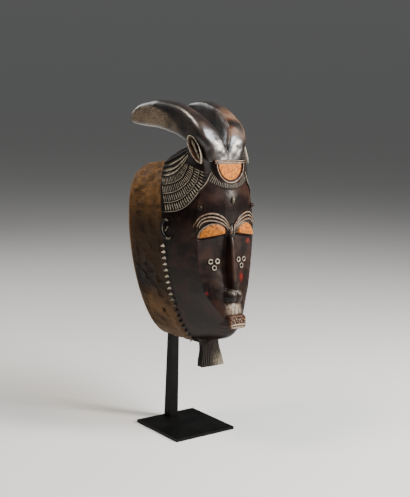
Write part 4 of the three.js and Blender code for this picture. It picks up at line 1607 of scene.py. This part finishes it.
@dataclass(frozen=True)
class Horns:
    """Two heavy horns that sweep back over the crown, flattened, with a paler outer face, partly rubbed wood
    and partly painted light, a painted highlight along its upper edge, and blunt cut ends.
    """

    steps: int = 96
    around: int = 56
    tool_marks: float = 0.5
    # Share along, lower line (y, z), crown line (y, z), inner and outer x
    stations: tuple[tuple[float, ...], ...] = (
        (0.0, -72, 374, -100, 382, -8, 29.5),
        (0.1, -71, 390, -99.5, 397, -1.5, 32.5),
        (0.2, -68, 399, -97, 411, 4, 37),
        (0.3, -61, 403.5, -88.5, 426, 9.5, 40),
        (0.4, -52.5, 408.5, -74, 439, 15, 41.5),
        (0.5, -38, 414, -54, 451, 19, 42.5),
        (0.6, -20, 420, -27.5, 460, 20.5, 45.5),
        (0.7, 0, 424.5, 0, 464, 22.5, 49),
        (0.8, 20, 427, 23, 463, 26, 51),
        (0.9, 40, 429.5, 41, 458.5, 30.5, 52.5),
        (0.97, 52, 433, 52, 451, 35, 53),
        (1.0, 57, 438, 56, 446, 39, 51),
    )
    # Share across from inner to outer, share up from the lower line to the crown line
    section: tuple[tuple[float, float], ...] = (
        (0.5, 0.0), (0.88, 0.03), (1.0, 0.2), (1.0, 0.66), (0.93, 0.86), (0.74, 0.97),
        (0.45, 1.0), (0.14, 0.97), (0.0, 0.84), (0.0, 0.42), (0.14, 0.1),
    )

    # Share along, and how far up the outer face is rubbed and painted lighter there
    rubbed_and_lit_to: tuple[tuple[float, float], ...] = (
        (0.0, 0.2), (0.5, 0.38), (0.6, 0.54), (0.7, 0.68), (0.8, 0.8), (0.9, 0.86), (1.0, 0.9),
    )

    def outline(self) -> tuple[Array, Array]:
        """The section as a smooth closed line.

        Returns:
            Shares across and shares up.
        """
        table = np.array(self.section + self.section[:1])
        long = np.concatenate([table[-3:-1], table, table[1:3]])
        at = np.arange(len(long)) - 2.0
        t = np.linspace(0.0, len(self.section), self.around + 1)[:-1]
        return curve_through(at, long[:, 0], t), curve_through(at, long[:, 1], t)

    def build(self, side: Side, finish: Any) -> Any:
        """Makes one horn.

        Args:
            side: Which horn.
            finish: Its material.

        Returns:
            The object.
        """
        t = np.linspace(0.0, 1.0, self.steps + 1)
        curves = table_curves(self.stations, t)
        low_y, low_z, top_y, top_z, inner, outer = (curve[:, None] for curve in curves)
        across, rise = (v[None, :] for v in self.outline())
        x = side.value * (inner + (outer - inner) * across)
        y = low_y + (top_y - low_y) * rise
        z = low_z + (top_z - low_z) * rise
        rings = np.stack([x, y, z], axis=-1)
        middle = rings.mean(axis=1, keepdims=True)
        away = rings - middle
        away = away / np.maximum(np.linalg.norm(away, axis=-1, keepdims=True), 1e-6)
        tools = value_noise(rings * np.array([1.0, 0.5, 1.0]), 9.0, 21) + 0.4 * value_noise(rings, 4.0, 22)
        rings = rings + away * (self.tool_marks * (tools - 1.5))[..., None]
        root = np.broadcast_to(middle[0], rings[0].shape)
        closing = [middle[-1] + (rings[-1] - middle[-1]) * share for share in (0.72, 0.36, 0.0)]
        points = np.stack([root, *rings, *closing])
        count = points.shape[0]
        along = np.clip((np.arange(count) - 1) / self.steps, 0.0, 1.0)[:, None]
        # The outer face, paler as rubbed wood and as painted light, is bounded above by a line that climbs
        # towards the tip, with a painted highlight along it
        bound = table_curves(self.rubbed_and_lit_to, along)[0]
        outer = smoothstep(0.8, 0.92, across)
        crest = outer * bell(rise, bound, 0.035) * smoothstep(0.5, 0.62, along)
        side_face = 0.5 * outer * smoothstep(bound, bound - 0.06, rise) * smoothstep(0.4, 0.64, along)
        tip = smoothstep(0.985, 1.0, along)
        patch = 0.5 + 0.5 * value_noise(points, 14.0, 9)
        worn = np.maximum(crest * 0.6, np.maximum(side_face, tip * 0.6)) * (0.5 + patch)
        front = smoothstep(0.16, 0.26, along) * smoothstep(0.6, 0.4, along) * smoothstep(0.6, 0.9, rise)
        bare = front * smoothstep(0.25, 0.7, patch) * (0.8 if side is Side.LEFT else 0.15)
        faces = grid_faces(count, self.around, closed=True)
        if side is Side.LEFT:
            faces = faces[:, ::-1]
        marks = {"worn": worn.ravel(), "raw": bare.ravel()}
        return make_piece("horn" + side.label, points.reshape(-1, 3), faces, finish, marks)


@dataclass(frozen=True)
class EarCups:
    """Leaf-shaped animal ears with a raised rim and a rib down the hollow, behind the foot of each horn."""

    center: tuple[float, float, float] = (40.2, -79.96, 396.6)
    length: float = 43.0
    width: float = 14.0
    taper: float = 0.18
    around: int = 56
    # From the foot over the rim into the hollow: share of the leaf, height, rubbing, bare wood
    levels: tuple[tuple[float, float, float, float], ...] = (
        (0.0, -15.0, 0.0, 0.0), (0.75, -15.0, 0.0, 0.0), (0.9, -8.0, 0.0, 0.0), (0.99, -2.5, 0.1, 0.0),
        (1.0, 0.6, 0.3, 0.0), (0.985, 2.0, 0.6, 0.0), (0.95, 2.5, 0.9, 0.0), (0.91, 2.2, 0.5, 0.0),
        (0.85, 0.2, 0.0, 0.35), (0.74, -2.4, 0.0, 0.35), (0.5, -3.8, 0.0, 0.0), (0.25, -3.6, 0.0, 0.0),
        (0.0, -3.4, 0.0, 0.0),
    )
    # The human ear on the flank, from its top: y and height
    curl_corners: tuple[tuple[float, float], ...] = (
        (-54.0, 303.5), (-50.0, 305.0), (-45.0, 300.0), (-43.5, 293.0), (-45.5, 286.0), (-50.0, 281.5),
        (-54.5, 280.5), (-57.5, 283.0),
    )

    def middle(self, side: Side) -> Array:
        """Middle of one leaf."""
        return np.array(self.center) * np.array([side.value, 1.0, 1.0])

    def axes(self, side: Side) -> tuple[Array, Array, Array]:
        """The way the leaf runs, the way across it and the way it faces."""
        along = unit(np.array([side.value * 0.08, 0.5, 0.86]))
        face = np.array([side.value * 0.86, -0.5, 0.15])
        across = unit(np.cross(along, face))
        return along, across, np.cross(across, along)

    def build(self, side: Side, finish: Any) -> Any:
        """Makes one cup.

        Args:
            side: Which ear.
            finish: Its material.

        Returns:
            The object.
        """
        along, across, facing = self.axes(side)
        turn = np.linspace(0.0, 2.0 * math.pi, self.around + 1)[:-1]
        wave = signed_power(np.sin(turn), 1.25) * (1.0 + self.taper * np.cos(turn))
        rings = []
        for share, lift, _, _ in self.levels:
            ring = self.middle(side) + np.outer(np.cos(turn) * self.length * share / 2.0, along)
            rings.append(ring + np.outer(wave * self.width * share / 2.0, across) + facing * lift)
        faces = grid_faces(len(rings), self.around, closed=True)
        if side is Side.RIGHT:
            faces = faces[:, ::-1]
        worn, raw = (np.repeat([level[i] for level in self.levels], self.around) for i in (2, 3))
        return make_piece(
            "ear_cup" + side.label, np.concatenate(rings), faces, finish, {"worn": worn, "raw": raw}
        )

    def rib(self, side: Side) -> Strand:
        """The rib down the middle of the hollow."""
        along, _, facing = self.axes(side)
        t = np.linspace(-0.78, 0.7, 16)
        path = self.middle(side) + np.outer(t * self.length / 2.0, along) + facing * -2.6
        return Strand(path, 1.5 * np.power(np.clip(1.0 - (t / 0.85) ** 4, 0.05, 1.0), 0.5))

    def curl(self, side: Side) -> list[Strand]:
        """The small curled human ear on the flank, below the hair."""
        t = np.linspace(0.0, 1.0, 34)
        path = BLOCK.on_flank(side, *corner_curves(self.curl_corners, t))
        outer = Strand(BLOCK.raised(path, 1.2), 2.5 * np.power(np.sin(math.pi * (0.12 + 0.8 * t)), 0.5))
        inner = BLOCK.on_flank(side, np.linspace(-53.5, -49.5, 10), np.linspace(297.0, 290.0, 10))
        lobe = Strand(BLOCK.raised(inner, 0.6), np.full(10, 1.5))
        return [outer, lobe]


@dataclass(frozen=True)
class Mouth:
    """A blunt box that stands out of the face, with rows of incised teeth between raised lips."""

    width: float = 26.4
    height: float = 18.0
    middle: float = 172.0
    front: float = -121.9
    back: float = -99.0
    columns: int = 110
    rows: int = 84
    shell_steps: int = 16

    def relief(self, a: Array, b: Array) -> tuple[Array, Array, Array]:
        """Height of the lips and teeth on the front of the box.

        Args:
            a: Place across, from -1 to 1.
            b: Place up, from -1 to 1.

        Returns:
            Relief in millimetres, pigment and rubbing.
        """
        bow = b + 0.1 * a * a
        middle_lip = bell(bow, -0.36, 0.1)
        low_lip = bell(bow, -0.86, 0.12)
        top_lip = bell(bow, 0.9, 0.1)
        lift = 1.3 * middle_lip + 1.1 * low_lip + 0.5 * top_lip
        upper = smoothstep(-0.24, -0.16, bow) * smoothstep(0.9, 0.8, bow)
        upper = upper * smoothstep(0.96, 0.86, np.abs(a))
        lower = smoothstep(-0.76, -0.68, bow) * smoothstep(-0.42, -0.5, bow)
        lower = lower * smoothstep(0.9, 0.82, np.abs(a))
        wobble = 0.3 * np.sin(7.0 * b + 2.0 * np.sin(5.0 * a))
        row_wave = (bow + 0.2) * 2.4 + 0.16 * np.sin(9 * a)
        waves = ((a * 3.1 + wobble, 1.6), (row_wave, 1.6), (a * 3.6 + 0.3, 1.5))
        upper_cut, upper_row, lower_cut = (
            np.power(np.abs(np.sin(math.pi * wave)), power) for wave, power in waves
        )
        tooth = upper * np.minimum(upper_cut, upper_row)
        hole = lower * (1.0 - lower_cut)
        cut = 0.9 * upper * (1.0 - tooth)
        lift = lift + 0.9 * tooth - cut - 1.2 * hole
        pigment = np.clip(0.12 + 0.75 * tooth - cut - 1.2 * hole, 0.0, 1.0)
        worn = np.clip(0.9 * middle_lip + 0.7 * low_lip + 0.25 * tooth + 0.5 * lower, 0.0, 1.0) * (1.0 - hole)
        return lift, pigment, worn

    def build(self, finish: Any) -> Any:
        """Makes the piece.

        Args:
            finish: Its material.

        Returns:
            The object.
        """
        u = np.linspace(-1.0, 1.0, self.columns)[None, :]
        v = np.linspace(-1.0, 1.0, self.rows)[:, None]
        # A square grid pressed into a rounded box front, so that its outer ring is one line
        edge = np.maximum(np.abs(u), np.abs(v))
        length = np.power(np.abs(u) ** 5 + np.abs(v) ** 5, 0.2)
        round_off = np.where(edge > 0.0, edge / np.maximum(length, 1e-9), 1.0)
        a, b = u * round_off, v * round_off
        lift, pigment, worn = self.relief(a, b)
        rim = smoothstep(0.8, 1.0, edge)
        x = a * self.width / 2.0 * 0.985
        z = self.middle + b * self.height / 2.0 * 0.98
        y = self.front + 0.5 * rim**2 + 0.3 * a * a + 0.2 * b * b + 0.9 - 0.8 * lift * (1.0 - 0.6 * rim)
        ring = self.ring_numbers()
        points = [np.stack([x, y, z], axis=-1).reshape(-1, 3)]
        start = points[0][ring]
        marks_pigment = [pigment.ravel()]
        marks_worn = [(worn * (1.0 - rim)).ravel()]
        faces = [grid_faces(self.rows, self.columns)]
        count = self.rows * self.columns
        before = ring
        for s in np.linspace(0.0, 1.0, self.shell_steps + 1)[1:]:
            wide = 1.0 + 0.05 * smoothstep(0.0, 0.15, s) + 0.16 * s
            level = start.copy()
            level[:, 0] *= wide
            level[:, 2] = self.middle + (level[:, 2] - self.middle) * wide
            level[:, 1] = start[:, 1] + (self.back - start[:, 1]) * s
            now = count + np.arange(len(ring))
            points.append(level)
            fade = smoothstep(0.12, 0.02, s)
            marks_pigment.append(np.full(len(ring), 0.15 * fade))
            marks_worn.append(np.zeros(len(ring)))
            after = np.roll(np.arange(len(ring)), -1)
            faces.append(np.stack([before, now, now[after], before[after]], axis=1))
            before = now
            count += len(ring)
        marks = {"pigment": np.concatenate(marks_pigment), "worn": np.concatenate(marks_worn)}
        return make_piece("mouth", np.concatenate(points), np.concatenate(faces), finish, marks)

    def ring_numbers(self) -> Array:
        """Point numbers of the front grid's outer ring, once round."""
        number = np.arange(self.rows * self.columns).reshape(self.rows, self.columns)
        return np.concatenate([number[0, :-1], number[:-1, -1], number[-1, :0:-1], number[:0:-1, 0]])


@dataclass(frozen=True)
class Beard:
    """A flat tuft that spreads downwards under the chin, combed into strands."""

    top: float = 141.0
    bottom: float = 102.3
    front: float = -62.5
    jut: float = 6.5
    depth: float = 14.0
    half_bottom: float = 19.0
    strands: int = 13

    def spread(self, t: Array) -> Array:
        """Half width at a share of the way down."""
        waist = 0.78 - 0.12 * np.sin(math.pi * np.clip(t * 1.3, 0.0, 1.0))
        return self.half_bottom * (waist + (1.0 - waist) * np.power(t, 1.6))

    def middle_y(self, t: Any) -> Any:
        """Y of the middle at a share of the way down."""
        return self.front + self.depth / 2.0 - self.jut * t

    def core(self, finish: Any) -> Any:
        """The tuft's body, under its strands.

        Args:
            finish: Its material.

        Returns:
            The object.
        """
        turn = np.linspace(0.0, 2.0 * math.pi, 49)[:-1]
        rings = []
        for t in np.linspace(0.0, 1.0, 14):
            half = self.spread(np.array(t)) - 1.4
            x = half * signed_power(np.cos(turn), 0.6)
            y = signed_power(np.sin(turn), 0.6) * (self.depth / 2.0 - 1.2) + self.middle_y(t)
            z = self.top + (self.bottom + 1.0 - self.top) * t
            rings.append(np.stack([x, y, np.full(len(turn), z)], axis=1))
        rings += [shrunk(rings[-1], share) for share in (0.6, 0.0)]
        points = np.stack(rings)
        faces = grid_faces(len(rings), len(turn), closed=True)[:, ::-1]
        return make_piece("beard_core", points.reshape(-1, 3), faces, finish)

    def strand_paths(self) -> list[Strand]:
        """Strands down the front, the back and both sides.

        Returns:
            One strand for each.
        """
        made = []
        t = np.linspace(0.0, 1.0, 14)
        z = self.top + (self.bottom + 0.8 - self.top) * t
        for face in (-1.0, 1.0):
            for i in range(self.strands):
                s = 2.0 * i / (self.strands - 1) - 1.0
                half = self.spread(t) - 1.2
                x = s * half + 0.5 * np.sin(t * 5.0 + i)
                y = self.middle_y(t) + face * (self.depth / 2.0 - 1.4 - 1.6 * s * s)
                radius = 1.05 * half / (self.strands - 1) * (0.95 + 0.1 * math.sin(2.3 * i + face))
                made.append(Strand(np.stack([x, y, z], axis=1), radius))
        for side in (-1.0, 1.0):
            for y in (-3.2, 0.0, 3.2):
                x = side * (self.spread(t) - 1.3)
                made.append(Strand(np.stack([x, self.middle_y(t) + y, z], axis=1), np.full(len(t), 1.7)))
        return made

    def tuft(self, tree: Any, finish: Any) -> Any:
        """Makes the strands, faintly rubbed, and paler at their lower end on the left side as painted light.

        Args:
            tree: The strand tree.
            finish: Their material.

        Returns:
            The object.
        """
        piece = grow_strands("beard_strands", self.strand_paths(), tree, finish, 0.2)
        places = places_of(piece)
        # Front faces of the lower strands on the left side are paler, as painted light; a faint rub lies on
        # all front faces
        low = smoothstep(126.0, 106.0, places[:, 2]) * smoothstep(-6.0, 10.0, places[:, 0])
        mark(piece, "worn", (0.04 + 0.5 * low) * smoothstep(-0.2, 0.7, -normals_of(piece)[:, 1]))
        return piece


@dataclass(frozen=True)
class Border:
    """Sawtooth band along the border, and the small raised marks of the face."""

    teeth_from: float = 0.578
    pitch: float = 8.3
    tooth_width: float = 7.0
    relief: float = 3.2
    ring: float = 2.85
    ring_wire: float = 1.3
    rings_at: tuple[float, float] = (22.6, 248.3)
    ring_offsets: tuple[tuple[float, float], ...] = ((-5.0, 3.0), (5.0, 3.0), (0.0, -5.5))
    # X, height and half sizes of the temples' nubs and of the drop on the forehead
    nub_table: tuple[tuple[float, ...], ...] = (
        (-42.5, 322.0, 4.4, 4.4, 4.6), (42.5, 322.0, 4.4, 4.4, 4.6), (0.0, 331.6, 6.0, 1.9, 3.0),
    )

    def teeth(self, side: Side) -> tuple[Array, Array, Array, Array]:
        """Places, directions and sizes of one side's teeth.

        Args:
            side: Which side.

        Returns:
            Middle points, ways out, ways along and sizes.
        """
        h = self.teeth_from * np.power(1.0 - np.linspace(0.0, 0.8, 900), 2.0)
        y = np.full(len(h), BLOCK.fore(BLOCK.border_at))
        line = np.stack([side.value * BLOCK.border_half(h), y, BLOCK.up(h)], axis=1)
        gone = run_of(line)
        count = int(gone[-1] // self.pitch)
        at = (np.arange(count) + 0.5) * self.pitch
        places, ahead = (
            np.stack([np.interp(reach, gone, column) for column in line.T], axis=1)
            for reach in (at, at + 1.0)
        )
        along = unit(ahead - places)
        away = unit(np.cross(along, np.array([0.0, 1.0, 0.0])) * side.value)
        sizes = np.tile([self.pitch * 0.3, self.tooth_width * 0.5, self.relief + 1.8], (count, 1))
        places = places + away * (self.relief - 1.6) / 2.0
        return places, away, along, sizes

    def ring_paths(self) -> list[Strand]:
        """Three small rings on each cheek.

        Returns:
            One closed strand for each ring.
        """
        made = []
        turn = np.linspace(0.0, 2.0 * math.pi, 25)
        for side in Side:
            for dx, dz in self.ring_offsets:
                x = side.value * self.rings_at[0] + dx + self.ring * np.cos(turn)
                z = self.rings_at[1] + dz + self.ring * np.sin(turn)
                path = BLOCK.raised(BLOCK.on_front(x, z), 0.35)
                made.append(Strand(path, np.full(len(turn), self.ring_wire)))
        return made

    def nubs(self) -> tuple[Array, Array, Array, Array]:
        """The nub at each temple and the drop on the forehead.

        Returns:
            Middle points, ways out, ways along and sizes.
        """
        table = np.array(self.nub_table)
        places = BLOCK.on_front(table[:, 0], table[:, 1])
        away = BLOCK.outward(places)
        along = np.tile([0.0, 0.0, 1.0], (len(table), 1))
        along = unit(along - away * np.sum(along * away, axis=1, keepdims=True))
        return places + away * 0.4, away, along, table[:, 2:]

    def build(self, tree: Any, wood: Any, face: Any) -> list[Any]:
        """Makes the band of teeth, and the nubs with the drop.

        Args:
            tree: The stud tree.
            wood: The teeth's material.
            face: The nubs' material.

        Returns:
            The two objects.
        """
        both = [np.concatenate(parts) for parts in zip(*(self.teeth(side) for side in Side))]
        teeth = grow_studs("border_teeth", *both, tree, wood, sides=4, top=0.12)
        soften(teeth, 0, 0.3)
        sideways = np.abs(normals_of(teeth)[:, 0])
        upper = smoothstep(175.0, 215.0, places_of(teeth)[:, 2])
        mark(teeth, "worn", upper + (1.0 - upper) * 0.6 * smoothstep(0.55, 0.9, sideways))
        nubs = grow_studs("temple_nubs", *self.nubs(), tree, face, sides=12, top=0.45)
        soften(nubs, 2)
        # The drop on the forehead is paler, as a painted highlight; the nubs at the temples are not
        mark(nubs, "worn", 0.4 * smoothstep(20.0, 10.0, np.abs(places_of(nubs)[:, 0])))
        return [teeth, nubs]


def soften(piece: Any, levels: int, width: float = 0.0) -> None:
    """Rounds a small piece with subdivision, and keeps the result as its mesh.

    Args:
        piece: The object.
        levels: Times that its faces are split.
        width: Millimetres that its edges are bevelled by first, or 0.
    """
    if width > 0.0:
        bevel = piece.modifiers.new("bevel", "BEVEL")
        bevel.width = width * MILLIMETRE
        bevel.segments = 2
    smooth = piece.modifiers.new("smooth", "SUBSURF")
    smooth.levels = levels
    smooth.render_levels = levels
    done = bpy.data.meshes.new_from_object(piece.evaluated_get(bpy.context.evaluated_depsgraph_get()))
    piece.modifiers.clear()
    piece.data = done


# Studio


@dataclass(frozen=True)
class Studio:
    """Plain pale floor, soft lights and the camera at the photograph's place."""

    camera_at: tuple[float, float, float] = (-0.7605, -1.0410, 0.4515)
    azimuth_degrees: float = -37.136
    pitch_degrees: float = 8.502
    roll_degrees: float = 1.486
    focal_pixels: float = 930.0
    frame_pixels: float = 497.0
    sensor_mm: float = 36.0
    aim: tuple[float, float, float] = (0.0, -0.05, 0.28)
    # Name, place in metres, watts, side in metres and colour of each lamp
    lamps: tuple[tuple[str, tuple[float, float, float], float, float, str], ...] = (
        ("key", (0.85, -1.15, 0.85), 40.0, 0.4, "#fff6ea"),
        ("front", (0.33, -0.95, 1.3), 34.0, 0.6, "#f2f6ff"),
        ("side", (-0.6, 0.15, 1.35), 11.0, 0.35, "#fff4e4"),
        ("back", (-0.3, 1.3, 1.1), 6.0, 0.8, "#ffffff"),
    )
    floor_reach: float = 40.0
    floor_colour: str = "#dcdcda"
    sky_colour: str = "#d3d4d4"
    # Strength of the sky at the horizon and overhead
    sky_strength: tuple[float, float] = (0.142, 0.2)

    def camera(self) -> None:
        """Sets the camera, fitted to the plate's corners and the face with a lens length that was chosen."""
        data = bpy.data.cameras.new("camera")
        data.sensor_width = self.sensor_mm
        data.lens = self.focal_pixels / self.frame_pixels * self.sensor_mm
        camera = new_object("camera", data)
        turns = (self.azimuth_degrees, self.pitch_degrees, self.roll_degrees)
        azimuth, pitch, roll = (math.radians(turn) for turn in turns)
        flat = math.cos(pitch)
        look = Vector((-math.sin(azimuth) * flat, math.cos(azimuth) * flat, -math.sin(pitch)))
        level = Vector((math.cos(azimuth), math.sin(azimuth), 0.0))
        above = level.cross(look)
        right = level * math.cos(roll) + above * math.sin(roll)
        camera.location = self.camera_at
        camera.rotation_euler = Matrix((right, right.cross(look), -look)).transposed().to_euler()
        bpy.context.scene.camera = camera

    def light(self, name: str, place: Sequence[float], watts: float, size: float, colour: str) -> None:
        """Adds a soft square lamp that points at the mask.

        Args:
            name: Its name.
            place: Where it stands, in metres.
            watts: Its power.
            size: Its side in metres.
            colour: sRGB hex colour.
        """
        data = bpy.data.lights.new(name, "AREA")
        data.energy = watts
        data.size = size
        data.color = linear(colour)[:3]
        lamp = new_object(name, data)
        lamp.location = place
        way = Vector(self.aim) - Vector(place)
        lamp.rotation_euler = way.to_track_quat("-Z", "Y").to_euler()

    def floor(self) -> None:
        """Lays the pale floor, which is stage and not part of the object."""
        mesh = bpy.data.meshes.new("floor")
        r = self.floor_reach
        corners = [(-r, -r, 0.0), (r, -r, 0.0), (r, r, 0.0), (-r, r, 0.0)]
        mesh.from_pydata(corners, [], [(0, 1, 2, 3)])
        floor = new_object("floor", mesh)
        material = bpy.data.materials.new("pale_paper")
        material.use_nodes = True
        shader = material.node_tree.nodes["Principled BSDF"]
        shader.inputs["Base Color"].default_value = linear(self.floor_colour)
        shader.inputs["Roughness"].default_value = 0.9
        mesh.materials.append(material)

    def build(self) -> None:
        """Makes the whole studio."""
        self.camera()
        self.floor()
        world = bpy.data.worlds.new("studio")
        bpy.context.scene.world = world
        world.use_nodes = True
        tree = world.node_tree
        sky = tree.nodes["Background"]
        sky.inputs["Color"].default_value = linear(self.sky_colour)
        way = add_node(tree, "ShaderNodeTexCoord").outputs["Generated"]
        height = add_node(tree, "ShaderNodeSeparateXYZ", {0: way}).outputs[2]
        tree.links.new(ramped(tree, height, 0.0, 0.6, *self.sky_strength), sky.inputs["Strength"])
        for lamp in self.lamps:
            self.light(*lamp)


def dress_stand(frame: dict[str, Any], finish: Any) -> None:
    """Gives the stand's own solids their painted finish.

    Args:
        finish: The steel material.
    """
    for name in ("stand_plate", "stand_post", "stand_arm"):
        node = frame["nodes"][name]
        for holder in node.material_slots:
            holder.material = finish
        LOG.info("%s: finished", name)


def side_pieces(side: Side, finishes: Finishes, tree: Any) -> None:
    """Makes the pieces that each side has.

    Args:
        side: Which side.
        finishes: The finishes.
        tree: The strand tree.
    """
    eyes, hair, cups = EyeCarving(), HairCarving(), EarCups()
    wood_piece(Horns().build(side, finishes.horn))
    wood_piece(cups.build(side, finishes.hair))
    # Name, paths, finish, rubbing of the crests with a painted highlight on them, and what else each set of
    # strands has
    sets = (
        ("hair_locks", hair.lock_paths(side), finishes.hair, 0.85, {}),
        ("hair_arcs", hair.arc_paths(side), finishes.hair, 0.8, {}),
        ("hair_strands", hair.strand_paths(side), finishes.hair, 0.95, {"sides": 16}),
        ("brow", eyes.brow_paths(side), finishes.face, 0.45, {"sides": 12, "pigment": 0.07}),
        ("ear", cups.curl(side), finishes.hair, 0.5, {"sides": 14}),
    )
    for name, paths, finish, rubbed, more in sets:
        wood_piece(grow_strands(name + side.label, paths, tree, finish, rubbed, **more))
    rib = grow_strands("cup_rib" + side.label, [cups.rib(side)], tree, finishes.hair, 0.0)
    mark(rib, "worn", np.full(len(rib.data.vertices), 0.7))
    wood_piece(rib)


def main() -> None:
    """Builds every piece in order."""
    logging.basicConfig(level=logging.INFO, format="%(name)s: %(message)s")
    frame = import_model()
    finishes = Finishes.made()
    strands, studs = strand_tree(), stud_tree()
    cap, beard, border = CapCarving(), Beard(), Border()

    front = CarvedFront(EyeCarving(), NoseCarving(), cap, HairCarving())
    wood_piece(front.build(finishes.face))
    wood_piece(RawShell().build(finishes.shell))
    for side in Side:
        side_pieces(side, finishes, strands)
    wood_piece(grow_strands("cap_rims", cap.rim_paths(), strands, finishes.face, 0.9, pigment=0.2))
    wood_piece(grow_strands("fringe", cap.fringe_paths(), strands, finishes.hair, 0.4, width=0.72))
    # The cheek rings' crests are pale all round: rubbed wood with a painted highlight
    wood_piece(grow_strands("cheek_rings", border.ring_paths(), strands, finishes.hair, 1.0))
    wood_piece(Mouth().build(finishes.face))
    wood_piece(beard.core(finishes.hair))
    wood_piece(beard.tuft(strands, finishes.hair))
    for piece in border.build(studs, finishes.hair, finishes.face):
        wood_piece(piece)

    dress_stand(frame, finishes.steel)
    Studio().build()


if __name__ == "__main__":
    main()
